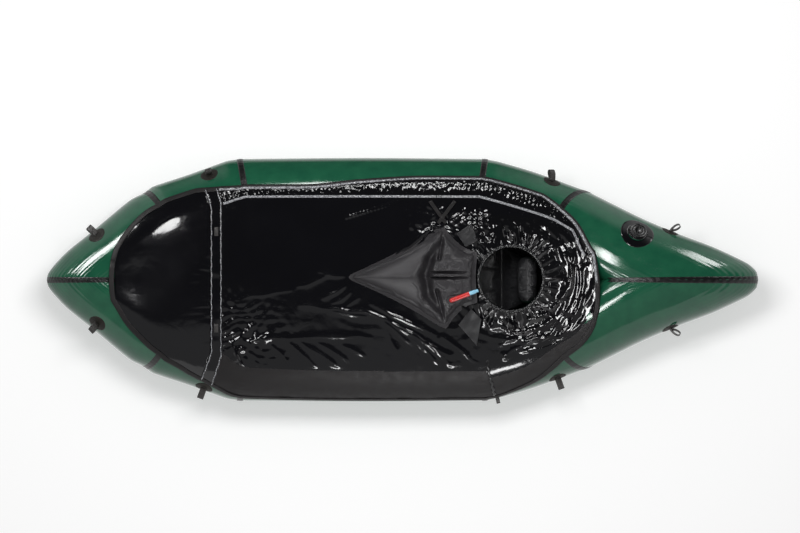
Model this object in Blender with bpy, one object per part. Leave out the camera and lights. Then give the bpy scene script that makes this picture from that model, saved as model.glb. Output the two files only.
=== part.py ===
"""A one-person packraft with a gathered spray deck.

The hull is a ring of coated-nylon tubes, cut from five panels a side and mitred at each seam. A place
on the hull is given by a station and an angle: the station counts the seams from the bow (0) to the
stern (5), with shares between them, and the angle goes round the tube from its outer side (0) over the
top (90) to its inner side (180). The bow points along -X and the deck faces +Z.
"""

from math import asin, atan2, ceil, cos, degrees, exp, hypot, pi, radians, sin, sqrt

import bmesh
import bpy
from mathutils import Matrix, Vector

# Hull sizes
HULL_LENGTH = 2.704
HULL_WIDTH = 0.918
TUBE_RADIUS = 0.140
BOW_TIP_RADIUS = 0.105
SIDE_LENGTH = 0.887
SIDE_AHEAD = 0.151
BOW_QUARTER_LENGTH = 0.316
BOW_SHOULDER_SPREAD = 0.2068
STERN_QUARTER_LENGTH = 0.360
STERN_SHOULDER_SPREAD = 0.2046
BOW_TIP_RISE = 0.095
BOW_SHOULDER_RISE = 0.018
STERN_TIP_RISE = 0.050
STERN_SHOULDER_RISE = 0.0
BOW_SEAM_RAKE = 0.030
STERN_SEAM_RAKE = 0.075
TUBE_SIDES = 20

# How far each panel's outer side swells past a straight cone, bow to stern
PANEL_CROWNS = (0.029, 0.012, 0.004, 0.009, 0.038)
PANEL_CROWN_SHARES = (
    ((0, 0), (0.04, 0.5), (0.12, 0.8), (0.25, 1), (0.5, 0.8), (0.86, 0.6), (1, 0)),
    ((0, 0), (0.1, 1), (0.5, 0.75), (0.85, 0.8), (1, 0)),
    ((0, 0), (0.5, 1), (1, 0)),
    ((0, 0), (0.15, 0.7), (0.45, 1), (0.75, 0.5), (1, 0)),
    ((0, 0), (0.28, 0.08), (0.5, 0.37), (0.75, 0.89), (0.9, 0.97), (0.97, 0.66), (1, 0)),
)

# Fabrics and clearances
FABRIC = 0.0008
FLOOR_FABRIC = 0.0010
GAP = 0.0003
SEAM_TAPE_WIDTH = 0.023
SEAM_TAPE_CLEARANCE = 0.0005
CENTRE_TAPE_CLEARANCE = 0.0009
PATCH_CLEARANCE = 0.0009
DECK_CLEARANCE = 0.0032
TRIM_CLEARANCE = 0.0014

# Deck
DECK_SAG = 0.012
RIM_TAPE_WIDTH = 0.019
BRIDGE_BULGE = 0.008
BRIDGE_DROOP = 0.006
BOW_BRIDGE_BULGE = 0.006
BAND_TOP_ANGLE = 86
GATHER_SHARE = 0.03
BOW_DECK_STEP_SHARE = 0.22
CROSS_BAND_STEP_SHARE = 0.06
MAIN_DECK_STEP_SHARE = 0.045
CROSS_BAND_STATION = 1.61
CROSS_BAND_WIDTH = 0.049
KEEPER_SHARE = 0.65
KEEPER_LENGTH = 0.034
KEEPER_WIDTH = 0.015
KEEPER_HEIGHT = 0.003
SKIRT_STATION = 2.937
WELT_STATION = 3.10
GATHER_BAND_END = 4.16
CLOSURE_BAND_END = 4.24
FLOOR_FIRST_STATION = 0.12
FLOOR_LAST_STATION = 4.88
# How much of the floor's slack hangs under the raised ends of the tubes, as (station, share)
FLOOR_SLACK = 0.0022
FLOOR_SLACK_SHARES = ((0.8, 1), (1.1, 0.6), (2, 0), (4, 0), (4.1, 1))
# Where the deck's edge lies on each tube, as (station, angle) from the bow to the stern
STARBOARD_EDGE_SHARES = (
    (0.30, 88), (0.47, 74), (0.66, 64), (0.86, 59), (1.4, 58), (1.65, 66), (2.0, 76), (2.25, 76),
    (2.5, 68), (2.78, 62), (3.70, 62), (3.85, 67), (4.0, 74), (4.12, 82), (4.28, 99), (4.35, 106),
    (4.43, 112),
)
PORT_EDGE_SHARES = (
    (0.30, 88), (0.41, 82), (0.63, 70), (0.86, 64), (1.25, 54), (1.4, 48), (1.7, 39), (2.0, 28),
    (2.4, 23), (3.0, 22), (3.15, 23), (3.3, 27), (3.6, 38), (3.75, 47), (4.0, 63), (4.12, 69),
    (4.28, 86), (4.35, 96), (4.43, 106),
)

# Folds of the slack deck, as (start x, start y, end x, end y) shares of half the hull's length and
# width, with each fold's share of the fold height
FOLD_HEIGHT = 0.0075
FOLD_WIDTH = 0.036
FOLD_SHARES = (
    (-0.30, -0.27, -0.10, -0.66, 1.0),
    (-0.24, -0.25, -0.02, -0.62, -0.8),
    (-0.46, -0.48, -0.08, -0.48, 0.8),
    (-0.47, -0.50, -0.30, -0.16, 0.6),
    (-0.16, 0.52, 0.10, 0.74, 0.5),
    (0.02, -0.66, 0.20, -0.52, 0.7),
)

# Cockpit
HOLE_X = 0.4125
HOLE_Y = 0.005
HOLE_HALF_LENGTH = 0.120
HOLE_HALF_WIDTH = 0.124
HEM_RADIUS = 0.007
HEM_LIFT = 0.014
SKIRT_PUCKERS = 13
PUCKER_HEIGHT = 0.005

# Knee pillow in front of the hole
PILLOW_HEIGHT = 0.072
PILLOW_BORDER = 0.016
PILLOW_BORDER_THICKNESS = 0.0016
PILLOW_CENTRE = (0.100, 0.003)
PILLOW_CORNERS = ((-0.200, 0.008), (0.150, 0.182), (0.226, 0.118), (0.226, -0.108), (0.166, -0.166))
PILLOW_VALLEY_X = 0.085
PILLOW_VALLEY_WIDTH = 0.022
PILLOW_VALLEY_SHARE = 0.22

# Seat and backrest
SEAT_FRONT_X = 0.125
SEAT_REAR_X = 0.505
SEAT_HALF_WIDTH = 0.152
SEAT_REAR_HALF_WIDTH = 0.085
SEAT_HEIGHT = 0.072
BACKREST_X = 0.434
BACKREST_THICKNESS = 0.070
BACKREST_HEIGHT = 0.162
BACKREST_HALF_WIDTH = 0.090
BACKREST_CLEARANCE = 0.0045
BACKREST_DROP = 0.0143

# Flat tapes that cross in front of the pillow
CROSS_TAPE_RIM_X = (0.1046, 0.1996)
CROSS_TAPE_RIM_SHARE = 0.94
CROSS_TAPE_PILLOW_ENDS = ((0.165, 0.226), (0.135, 0.226))
CROSS_TAPE_WIDTH = 0.014

# Mouth valve on the pillow
MOUTH_VALVE_FOOT = (0.186, -0.078)
MOUTH_VALVE_END = (0.288, -0.040)
MOUTH_TUBE_RADIUS = 0.0085
MOUTH_FLANGE_RADIUS = 0.017
MOUTH_TIP_RADIUS = 0.0078
MOUTH_TIP_LENGTH = 0.036
MOUTH_SPIGOT_RADIUS = 0.0048
MOUTH_SPIGOT_LENGTH = 0.009
MOUTH_TUBE_CLEARANCE = 0.012
MOUTH_FOOT_SHARE = 0.142

# Main valve
VALVE_STATION = 4.43
VALVE_ANGLE = 52
VALVE_PATCH_RADIUS = 0.065
VALVE_FLANGE_RADIUS = 0.0375
VALVE_FLANGE_THICKNESS = 0.0030
VALVE_FLANGE_LIFT = 0.0014
VALVE_PATCH_MARGIN = 0.0015
VALVE_COLLAR_RADIUS = 0.0300
VALVE_COLLAR_HEIGHT = 0.0105
VALVE_THROAT_RADIUS = 0.0265
VALVE_BARREL_RADIUS = 0.0290
VALVE_DEPTH = 0.018
VALVE_SEAT_THICKNESS = 0.002
VALVE_GUIDE_RADIUS = 0.0036
VALVE_CAP_THICKNESS = 0.0034
VALVE_CAP_WALL = 0.0030
VALVE_CAP_GROOVE_RADII = (0.012, 0.017, 0.0225, 0.0265)
VALVE_CAP_GROOVE_DEPTH = 0.0012
PLUNGER_HEAD_RADIUS = 0.0075
PLUNGER_HEAD_HEIGHT = 0.003
PLUNGER_STEM_RADIUS = 0.0030
PLUNGER_DISC_RADIUS = 0.0235
PLUNGER_DISC_THICKNESS = 0.002
PLUNGER_TOP = 0.005
SPRING_RADIUS = 0.0050
SPRING_WIRE_RADIUS = 0.0007
SPRING_TURNS = 4

# Webbing loops: station, angle, side (+1 starboard), turn of the webbing's width away from the tube's
# axis, and lean away from the tube's normal
LOOP_PLACES = {
    "bow_starboard": (0.48, 30, 1, -14, 40),
    "bow_port": (0.47, 34, -1, -14, 10),
    "bow_quarter_starboard": (1.65, 34, 1, 0, -35),
    "bow_quarter_port": (1.61, 22, -1, 0, 40),
    "stern_quarter_starboard": (3.70, 22, 1, -45, 40),
    "stern_quarter_port": (3.74, 16, -1, 0, 15),
    "stern_starboard": (4.49, 12, 1, 75, 40),
    "stern_port": (4.49, 12, -1, 75, 40),
}
LOOP_PATCH_RADIUS = 0.034
WEBBING_WIDTH = 0.024
LOOP_FOOT_RADIUS = 0.0026
LOOP_HEIGHT = 0.042
LOOP_HALF_WIDTH = 0.0125
LOOP_FOOT_HALF_WIDTH = 0.0042
LOOP_HOLE_START = 0.010
LOOP_HOLE_HALF_WIDTH = 0.0100
LOOP_HOLE_FOOT_HALF_WIDTH = 0.0045
WEBBING = 0.0018
PULL_LOOP_SCALE = 0.6
PULL_LOOP_PLACE = (3.12, 17, -1, 0, 30)

# Colours
HULL_GREEN = (0.012, 0.095, 0.045)
DECK_BLACK = (0.012, 0.012, 0.014)
TAPE_BLACK = (0.018, 0.018, 0.018)
PILLOW_GREY = (0.045, 0.043, 0.045)
SEAT_GREY = (0.030, 0.030, 0.032)
WEBBING_BLACK = (0.020, 0.019, 0.018)
PATCH_BROWN = (0.060, 0.055, 0.045)
VALVE_PLASTIC = (0.015, 0.015, 0.016)
STEEL = (0.550, 0.550, 0.560)
VALVE_RED = (0.420, 0.020, 0.025)
VALVE_BLUE = (0.330, 0.560, 0.700)

UP = Vector((0, 0, 1))
SIDE_NAMES = {1: "starboard", -1: "port"}
PANEL_NAMES = ("bow_cone", "bow_quarter", "side_tube", "stern_quarter", "stern_cone")
SEAM_NAMES = ("bow_shoulder", "bow_side", "stern_side", "stern_shoulder")


# Shared modelling helpers


def make_object(name, points, faces, colour, roughness=0.4, metallic=0.0):
    """One closed mesh with its own material, its faces turned outwards."""
    mesh = bpy.data.meshes.new(name)
    mesh.from_pydata([tuple(point) for point in points], [], faces)
    mesh_edit = bmesh.new()
    mesh_edit.from_mesh(mesh)
    bmesh.ops.recalc_face_normals(mesh_edit, faces=mesh_edit.faces[:])
    mesh_edit.to_mesh(mesh)
    mesh_edit.free()
    mesh.shade_smooth()
    mesh.set_sharp_from_angle(angle=radians(35))
    material = bpy.data.materials.new(name)
    material.use_nodes = True
    shader = material.node_tree.nodes["Principled BSDF"]
    shader.inputs["Base Color"].default_value = (*colour, 1)
    shader.inputs["Roughness"].default_value = roughness
    shader.inputs["Metallic"].default_value = metallic
    mesh.materials.append(material)
    item = bpy.data.objects.new(name, mesh)
    bpy.context.collection.objects.link(item)
    return item


def sheet_body(lower, upper, closed_rows=False):
    """Points and faces of a sheet between two grids; closed_rows joins the last row to the first."""
    rows, columns = len(lower), len(lower[0])
    points = [point for row in lower for point in row] + [point for row in upper for point in row]
    top = rows * columns
    faces = []
    last = rows if closed_rows else rows - 1
    for i in range(last):
        j = (i + 1) % rows
        for c in range(columns - 1):
            a, b = i * columns + c, i * columns + c + 1
            d, e = j * columns + c, j * columns + c + 1
            faces.append((a, b, e, d))
            faces.append((top + a, top + d, top + e, top + b))
        for c in (0, columns - 1):
            a, d = i * columns + c, j * columns + c
            faces.append((a, d, top + d, top + a))
    if not closed_rows:
        for i in (0, rows - 1):
            for c in range(columns - 1):
                a, b = i * columns + c, i * columns + c + 1
                faces.append((a, b, top + b, top + a))
    return points, faces


def ring_body(rings, closed=False):
    """Points and faces through a list of equal rings, capped at both ends unless closed."""
    count = len(rings[0])
    points = [point for ring in rings for point in ring]
    faces = []
    last = len(rings) if closed else len(rings) - 1
    for i in range(last):
        j = (i + 1) % len(rings)
        for c in range(count):
            d = (c + 1) % count
            faces.append((i * count + c, i * count + d, j * count + d, j * count + c))
    if not closed:
        faces.append(tuple(range(count)))
        faces.append(tuple(range((len(rings) - 1) * count, len(rings) * count)))
    return points, faces


def halves(quad, from_second):
    """A quad's two triangles, cut from its first corner or from its second."""
    a, b, c, d = quad
    return [(b, c, d), (b, d, a)] if from_second else [(a, b, c), (a, c, d)]


def turned_body(profile, sides):
    """Points and faces of a profile of (radius, height) turned round Z; its ends may lie on Z."""
    on_axis = profile[0][0] == 0 and profile[-1][0] == 0
    inner = profile[1:-1] if on_axis else profile
    points = []
    for radius, height in inner:
        for i in range(sides):
            turn = 2 * pi * i / sides
            points.append(Vector((radius * cos(turn), radius * sin(turn), height)))
    faces = []
    steps = len(inner) - 1 if on_axis else len(inner)
    for k in range(steps):
        m = (k + 1) % len(inner)
        for i in range(sides):
            j = (i + 1) % sides
            faces.append((k * sides + i, k * sides + j, m * sides + j, m * sides + i))
    if on_axis:
        for (_, height), k in ((profile[0], 0), (profile[-1], len(inner) - 1)):
            points.append(Vector((0, 0, height)))
            for i in range(sides):
                faces.append((len(points) - 1, k * sides + i, k * sides + (i + 1) % sides))
    return points, faces


def frame_matrix(origin, along, outward):
    """A frame with X along, Z outward and its origin at a point."""
    z_axis = outward.normalized()
    y_axis = z_axis.cross(along).normalized()
    x_axis = y_axis.cross(z_axis)
    matrix = Matrix((x_axis, y_axis, z_axis)).transposed().to_4x4()
    matrix.translation = origin
    return matrix


def cut(item, cutter):
    """Cuts a hidden cutter out of an item."""
    cutter.hide_render = True
    cutter.display_type = "WIRE"
    modifier = item.modifiers.new("cut", "BOOLEAN")
    modifier.operation = "DIFFERENCE"
    modifier.object = cutter


def blend(low, high, share):
    return low + (high - low) * share


def read_table(table, place):
    """A value between the points of a table of (place, value)."""
    if place <= table[0][0]:
        return table[0][1]
    for (start, low), (end, high) in zip(table, table[1:]):
        if place <= end:
            return blend(low, high, (place - start) / (end - start))
    return table[-1][1]


# The hull's own geometry


def tip_centre(tip_x, shoulder_x, shoulder_y, radius):
    """Centre x and stretch of the oval where a tube meets the middle plane, its outer end at tip_x."""
    reach = abs(shoulder_x - tip_x)
    slope = atan2(shoulder_y, reach) + asin(radius / hypot(reach, shoulder_y))
    inward = 1 if shoulder_x > tip_x else -1
    return tip_x + inward * radius / sin(slope), 1 / sin(slope)


def make_stations():
    """The mitre rings of the starboard tube: centre, side vector, radius and rake vector."""
    side_y = HULL_WIDTH / 2 - TUBE_RADIUS
    bow_side_x = -SIDE_AHEAD - SIDE_LENGTH / 2
    stern_side_x = -SIDE_AHEAD + SIDE_LENGTH / 2
    bow_shoulder_x = bow_side_x - BOW_QUARTER_LENGTH
    stern_shoulder_x = stern_side_x + STERN_QUARTER_LENGTH
    bow_x, bow_stretch = tip_centre(
        -HULL_LENGTH / 2, bow_shoulder_x, BOW_SHOULDER_SPREAD, BOW_TIP_RADIUS)
    stern_x, stern_stretch = tip_centre(
        HULL_LENGTH / 2, stern_shoulder_x, STERN_SHOULDER_SPREAD, TUBE_RADIUS)
    plan = (
        (bow_x, 0, BOW_TIP_RADIUS, BOW_TIP_RISE, 0),
        (bow_shoulder_x, BOW_SHOULDER_SPREAD, TUBE_RADIUS, BOW_SHOULDER_RISE, BOW_SEAM_RAKE),
        (bow_side_x, side_y, TUBE_RADIUS, 0, 0),
        (stern_side_x, side_y, TUBE_RADIUS, 0, 0),
        (stern_shoulder_x, STERN_SHOULDER_SPREAD, TUBE_RADIUS, STERN_SHOULDER_RISE, -STERN_SEAM_RAKE),
        (stern_x, 0, TUBE_RADIUS, STERN_TIP_RISE, 0),
    )
    centres = [Vector((x, y, FLOOR_FABRIC + GAP + r + rise)) for x, y, r, rise, _ in plan]
    headings = []
    for start, end in zip(centres, centres[1:]):
        heading = Vector((end.x - start.x, end.y - start.y, 0))
        headings.append(heading.normalized())
    stations = []
    for i, (_, _, radius, _, rake) in enumerate(plan):
        if i == 0:
            side, along = Vector((-bow_stretch, 0, 0)), Vector((0, 1, 0))
        elif i == len(plan) - 1:
            side, along = Vector((stern_stretch, 0, 0)), Vector((0, -1, 0))
        else:
            along = (headings[i - 1] + headings[i]).normalized()
            side = Vector((-along.y, along.x, 0)) / along.dot(headings[i])
        stations.append((centres[i], side * radius, radius, along * rake, along))
    outward = [Vector((-heading.y, heading.x, 0)) for heading in headings]
    return stations, outward


STATIONS, OUTWARD = make_stations()
PANELS = len(OUTWARD)


def ring_point(index, angle):
    centre, side, radius, rake, _ = STATIONS[index]
    return centre + side * cos(angle) + (UP * radius + rake) * sin(angle)


def panel_of(station):
    panel = min(int(station), PANELS - 1)
    return panel, station - panel


def hull_normal(side, station, degrees_round):
    panel, _ = panel_of(station)
    angle = radians(degrees_round)
    normal = OUTWARD[panel] * cos(angle) + UP * sin(angle)
    return Vector((normal.x, normal.y * side, normal.z))


def hull_point(side, station, degrees_round, lift=0.0):
    """A point on the tube's skin, or lifted off it along its normal."""
    panel, share = panel_of(station)
    angle = radians(degrees_round)
    point = ring_point(panel, angle).lerp(ring_point(panel + 1, angle), share)
    swell = PANEL_CROWNS[panel] * read_table(PANEL_CROWN_SHARES[panel], share)
    point += OUTWARD[panel] * swell * ((1 + cos(angle)) / 2) ** 2
    point.y *= side
    return point + hull_normal(side, station, degrees_round) * lift


def stations_between(start, end, widest_step=1.0):
    """Every place from start to end where a panel's skin bends, and enough between them."""
    bends = [panel + share for panel in range(PANELS) for share, _ in PANEL_CROWN_SHARES[panel]]
    tight = 1e-6
    kept = sorted({start, end, *(bend for bend in bends if start + tight < bend < end - tight)})
    places = [kept[0]]
    for low, high in zip(kept, kept[1:]):
        steps = max(1, ceil((high - low) / widest_step - tight))
        places.extend(blend(low, high, i / steps) for i in range(1, steps + 1))
    return places


def panel_length(panel):
    return (STATIONS[panel + 1][0] - STATIONS[panel][0]).length


def station_step(station, distance):
    """How much a distance along the tube changes the station."""
    return distance / panel_length(panel_of(station)[0])


# Hull pieces


def tube_panel(side, panel):
    """One fabric panel, an open-ended tube between two mitre planes."""
    rings = {0: [], FABRIC: []}
    for share, swell_share in PANEL_CROWN_SHARES[panel]:
        seam_gap = STATIONS[panel][4] * (GAP / 2) * (share == 0)
        seam_gap -= STATIONS[panel + 1][4] * (GAP / 2) * (share == 1)
        for depth, kept in rings.items():
            ring = []
            for i in range(TUBE_SIDES):
                angle = 2 * pi * i / TUBE_SIDES
                point = ring_point(panel, angle).lerp(ring_point(panel + 1, angle), share)
                swell = PANEL_CROWNS[panel] * swell_share
                point += OUTWARD[panel] * swell * ((1 + cos(angle)) / 2) ** 2
                outward = OUTWARD[panel] * cos(angle) + UP * sin(angle)
                if share in (0, 1):
                    _, ring_side, radius, rake, _ = STATIONS[panel + share]
                    outward = (ring_side * cos(angle) + (UP * radius + rake) * sin(angle)) / radius
                point += seam_gap - outward * depth
                ring.append(Vector((point.x, point.y * side, point.z)))
            kept.append(ring)
    outer, inner = rings[0], rings[FABRIC]
    points, quads = ring_body(outer + inner[::-1], closed=True)
    # Both skins are split between the same corners, so that a twisted wall keeps its thickness.
    faces = []
    for i, quad in enumerate(quads):
        faces += halves(quad, from_second=i // TUBE_SIDES >= len(outer))
    name = f"{PANEL_NAMES[panel]}_{SIDE_NAMES[side]}"
    return make_object(name, points, faces, HULL_GREEN, 0.25)


def edge_point(side, station, distance, degrees_round, lift):
    """A point on the skin at a distance from a seam, negative towards the bow."""
    index = round(station)
    panel = index if distance > 0 else index - 1
    shares = [share for share, _ in PANEL_CROWN_SHARES[panel]]
    near, far = (shares[0], shares[1]) if distance > 0 else (shares[-1], shares[-2])
    tight = 1e-9
    seam = panel + min(near, 1 - tight)
    start = hull_point(side, seam, degrees_round)
    end = hull_point(side, panel + far, degrees_round)
    point = start.lerp(end, abs(distance) / (end - start).length)
    return point + hull_normal(side, seam, degrees_round) * lift


def ridge_point(point, first, second, lift):
    """A point over the ridge between two skins, clear of both by the lift."""
    middle = (first + second).normalized()
    return point + middle * (lift / middle.dot(first))


def seam_tape(name, sides_and_ends, index, first_angle, last_angle, clearance):
    """A band over one seam: three points across, two flat runs and the ridge between."""
    (side_a, reach_a), (side_b, reach_b) = sides_and_ends
    step = 360 / TUBE_SIDES
    turns = [step * k for k in range(ceil(first_angle / step), int(last_angle / step) + 1)]
    grids = []
    for lift in (clearance, clearance + FABRIC):
        grid = []
        for turn in turns:
            tight = 1e-9
            place_a = index + (tight if reach_a > 0 else -tight)
            place_b = index + (tight if reach_b > 0 else -tight)
            normal_a = hull_normal(side_a, place_a, turn)
            normal_b = hull_normal(side_b, place_b, turn)
            ridge = ring_point(index, radians(turn))
            ridge.y *= side_b
            grid.append([
                edge_point(side_a, index, reach_a, turn, lift),
                ridge_point(ridge, normal_a, normal_b, lift),
                edge_point(side_b, index, reach_b, turn, lift),
            ])
        grids.append(grid)
    points, faces = sheet_body(*grids)
    return make_object(name, points, faces, TAPE_BLACK, 0.6)


def hull_seam_tapes():
    half = SEAM_TAPE_WIDTH / 2
    for side in (1, -1):
        for index, seam in enumerate(SEAM_NAMES, start=1):
            ends = ((side, -half), (side, half))
            name = f"seam_tape_{seam}_{SIDE_NAMES[side]}"
            seam_tape(name, ends, index, -54, 252, SEAM_TAPE_CLEARANCE)
    bow, stern = ((-1, half), (1, half)), ((-1, -half), (1, -half))
    seam_tape("bow_centre_tape", bow, 0, -54, 126, CENTRE_TAPE_CLEARANCE)
    seam_tape("stern_centre_tape", stern, PANELS, -54, 144, CENTRE_TAPE_CLEARANCE)


def floor_sheet():
    """The floor fabric: flat between the tubes, its edges turned up under them."""
    wraps = (-72, -90)
    shares = (0.75, 0.25)
    own = {place for place, _ in FLOOR_SLACK_SHARES}
    places = sorted(own.union(stations_between(FLOOR_FIRST_STATION, FLOOR_LAST_STATION, 0.34)))
    grids = []
    for lift in (GAP + FLOOR_FABRIC, GAP):
        grid = []
        for station in places:
            slack = lift + FLOOR_SLACK * read_table(FLOOR_SLACK_SHARES, station)
            row = [hull_point(-1, station, wrap, slack) for wrap in wraps]
            port = hull_point(-1, station, wraps[-1], slack)
            starboard = hull_point(1, station, wraps[-1], slack)
            row += [starboard.lerp(port, share) for share in shares]
            row += [hull_point(1, station, wrap, slack) for wrap in reversed(wraps)]
            grid.append(row)
        grids.append(grid)
    points, faces = sheet_body(*grids)
    return make_object("floor_sheet", points, faces, TAPE_BLACK, 0.5)


# The deck's own geometry


def starboard_edge(station):
    return read_table(STARBOARD_EDGE_SHARES, station)


def port_edge(station):
    return read_table(PORT_EDGE_SHARES, station)


def fold_height(x, y):
    """Height of the slack deck's folds at a place in plan."""
    height = 0.0
    for x0, y0, x1, y1, share in FOLD_SHARES:
        start = Vector((x0 * HULL_LENGTH / 2, y0 * HULL_WIDTH / 2))
        end = Vector((x1 * HULL_LENGTH / 2, y1 * HULL_WIDTH / 2))
        run = end - start
        place = (Vector((x, y)) - start).dot(run) / run.length_squared
        nearest = start + run * min(max(place, 0), 1)
        off = (Vector((x, y)) - nearest).length / FOLD_WIDTH
        height += FOLD_HEIGHT * share * exp(-off * off)
    return height


def deck_across(station, share, lift):
    """A point of the deck between the two tubes' tops; share goes from -1 at port to +1."""
    port = hull_point(-1, station, 90, DECK_CLEARANCE + lift)
    starboard = hull_point(1, station, 90, DECK_CLEARANCE + lift)
    point = port.lerp(starboard, (share + 1) / 2)
    slack = (1 - share * share) ** 2
    sag = min(DECK_SAG, starboard.y ** 2 / (10 * TUBE_RADIUS))
    point.z += slack * (fold_height(point.x, point.y) - sag)
    return point


def deck_height(x, y, lift):
    """Height of the deck over the straight side tubes at a place in plan."""
    start, end = STATIONS[2][0], STATIONS[3][0]
    station = 2 + (x - start.x) / (end.x - start.x)
    share = y / start.y
    return deck_across(station, share, lift).z


def edge_places(start, end, widest_step):
    """Every place from start to end where a deck edge or a skin bends, and enough between them."""
    edges = STARBOARD_EDGE_SHARES + PORT_EDGE_SHARES
    own = {place for place, _ in edges if start < place < end}
    fine = 6
    return sorted({round(place, fine) for place in own.union(stations_between(start, end, widest_step))})


def wrap_angles(edge, limit, steps):
    """Angles from a deck edge up to a limit, the limit left out."""
    return [blend(edge, limit, i / steps) for i in range(steps)]


def deck_row(station, starboard_angles, columns, port_angles, lift):
    """One row of the deck, from its starboard edge over both tubes' tops to its port edge."""
    lifted = DECK_CLEARANCE + lift
    row = [hull_point(1, station, angle, lifted) for angle in starboard_angles]
    row += [deck_across(station, 1 - 2 * i / columns, lift) for i in range(columns + 1)]
    row += [hull_point(-1, station, angle, lifted) for angle in reversed(port_angles)]
    return row


def outer_row(station, lift):
    """A row that goes down to the deck's edge on both tubes."""
    starboard = wrap_angles(starboard_edge(station), 90, 3)
    port = wrap_angles(port_edge(station), 90, 4)
    return deck_row(station, starboard, 10, port, lift)


def inner_row(station, lift):
    """A row that ends at the top of the starboard tube and at the closure band."""
    return deck_row(station, (), 16, (BAND_TOP_ANGLE,), lift)


def deck_panel(name, start, end, row_at, step, colour, roughness):
    """A deck panel between two stations, cut back by a gap at each end."""
    places = edge_places(start + station_step(start, GAP), end - station_step(end, GAP), step)
    grids = [[row_at(station, lift) for station in places] for lift in (0, FABRIC)]
    points, faces = sheet_body(*grids)
    return make_object(name, points, faces, colour, roughness)


def cross_band_ends():
    half = station_step(CROSS_BAND_STATION, CROSS_BAND_WIDTH / 2)
    return CROSS_BAND_STATION - half, CROSS_BAND_STATION + half


# Deck pieces


def rim_route():
    """Points and normals round the deck's edge, over both tubes and across both ends."""
    first, last = STARBOARD_EDGE_SHARES[0][0], STARBOARD_EDGE_SHARES[-1][0]
    places = edge_places(first, last, 0.12)
    lift = DECK_CLEARANCE + FABRIC + TRIM_CLEARANCE
    runs = []
    for side, edge in ((1, starboard_edge), (-1, port_edge)):
        runs.append([
            (hull_point(side, place, edge(place), lift), hull_normal(side, place, min(edge(place), 90)))
            for place in places
        ])
    starboard, port = runs[0], runs[1][::-1]
    bridges = []
    count = 6
    for start, end, bulge, droop in (
        (starboard[-1], port[0], BRIDGE_BULGE, BRIDGE_DROOP),
        (port[-1], starboard[0], -BOW_BRIDGE_BULGE, 0),
    ):
        bridge = []
        for i in range(1, count):
            share = i / count
            rise = 4 * share * (1 - share)
            point = start[0].lerp(end[0], share) + Vector((bulge * rise, 0, -droop * rise))
            bridge.append((point, start[1].lerp(end[1], share).normalized()))
        bridges.append(bridge)
    return starboard, bridges[0], port, bridges[1]


def ribbon(route, width, thickness, closed=False):
    """Points and faces of a flat ribbon along points with their normals."""
    lower, upper = [], []
    count = len(route)
    for i, (point, normal) in enumerate(route):
        before = route[(i - 1) % count if closed else max(i - 1, 0)][0]
        after = route[(i + 1) % count if closed else min(i + 1, count - 1)][0]
        across = normal.cross(after - before).normalized() * (width / 2)
        lower.append([point - across, point + across])
        upper.append([low + normal * thickness for low in lower[-1]])
    return sheet_body(lower, upper, closed_rows=closed)


def deck_rim_tape():
    starboard, aft, port, fore = rim_route()
    points, faces = ribbon(starboard + aft + port + fore, RIM_TAPE_WIDTH, FABRIC, closed=True)
    return make_object("deck_rim_tape", points, faces, WEBBING_BLACK, 0.8)


def rim_gather_band():
    """The puckered channel on the starboard tube, between the deck's edge and the tube's top."""
    start = cross_band_ends()[1] + station_step(CROSS_BAND_STATION, GAP)
    edge_gap = degrees(GAP / TUBE_RADIUS)
    steps = 3
    lower, upper = [], []
    for i, station in enumerate(edge_places(start, GATHER_BAND_END, 0.09)):
        edge = starboard_edge(station)
        pucker = GATHER_SHARE * radians(90 - edge) * TUBE_RADIUS * (i % 2)
        angles = [*wrap_angles(edge, 90 - edge_gap, steps), 90 - edge_gap]
        heights = [FABRIC + pucker * (k in (1, 2)) for k in range(steps + 1)]
        lower.append([hull_point(1, station, angle, DECK_CLEARANCE) for angle in angles])
        upper.append([
            hull_point(1, station, angle, DECK_CLEARANCE + height)
            for angle, height in zip(angles, heights)
        ])
    points, faces = sheet_body(lower, upper)
    return make_object("rim_gather_band", points, faces, DECK_BLACK, 0.2)


def closure_band():
    """The hook-and-loop band down the port tube's shoulder, tapering out towards the stern."""
    start = cross_band_ends()[1] + station_step(CROSS_BAND_STATION, GAP)
    high = BAND_TOP_ANGLE - degrees(GAP / TUBE_RADIUS)
    grids = []
    for lift in (DECK_CLEARANCE, DECK_CLEARANCE + FABRIC):
        grid = []
        for station in edge_places(start, CLOSURE_BAND_END, 0.2):
            angles = [*wrap_angles(port_edge(station), high, 5), high]
            grid.append([hull_point(-1, station, angle, lift) for angle in angles])
        grids.append(grid)
    points, faces = sheet_body(*grids)
    return make_object("closure_band", points, faces, WEBBING_BLACK, 0.75)


def webbing_keeper(side):
    """A short strap sewn down at both ends on the cross band, its middle standing off."""
    crest = abs(hull_point(side, CROSS_BAND_STATION, 90).y)
    route = []
    for share in (-1, -0.6, 0, 0.6, 1):
        across = side * (KEEPER_SHARE + share * KEEPER_LENGTH / 2 / crest)
        point = deck_across(CROSS_BAND_STATION, across, FABRIC + TRIM_CLEARANCE / 2)
        route.append((point + UP * KEEPER_HEIGHT * (1 - share * share), UP))
    points, faces = ribbon(route, KEEPER_WIDTH, FABRIC * 2)
    return make_object(f"keeper_{SIDE_NAMES[side]}", points, faces, WEBBING_BLACK, 0.8)


def hem_point(turn, swell, lift):
    """A point of the hole's hem; turn goes round the hole from +X."""
    base = deck_across(SKIRT_STATION, 1, 0).z
    return Vector((
        HOLE_X + (HOLE_HALF_LENGTH + swell) * cos(turn),
        HOLE_Y + (HOLE_HALF_WIDTH + swell) * sin(turn),
        base + lift,
    ))


def hem_turn(point):
    """The place on the hem that faces a point of the skirt's edge."""
    return atan2((point.y - HOLE_Y) / HOLE_HALF_WIDTH, (point.x - HOLE_X) / HOLE_HALF_LENGTH)


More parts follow.
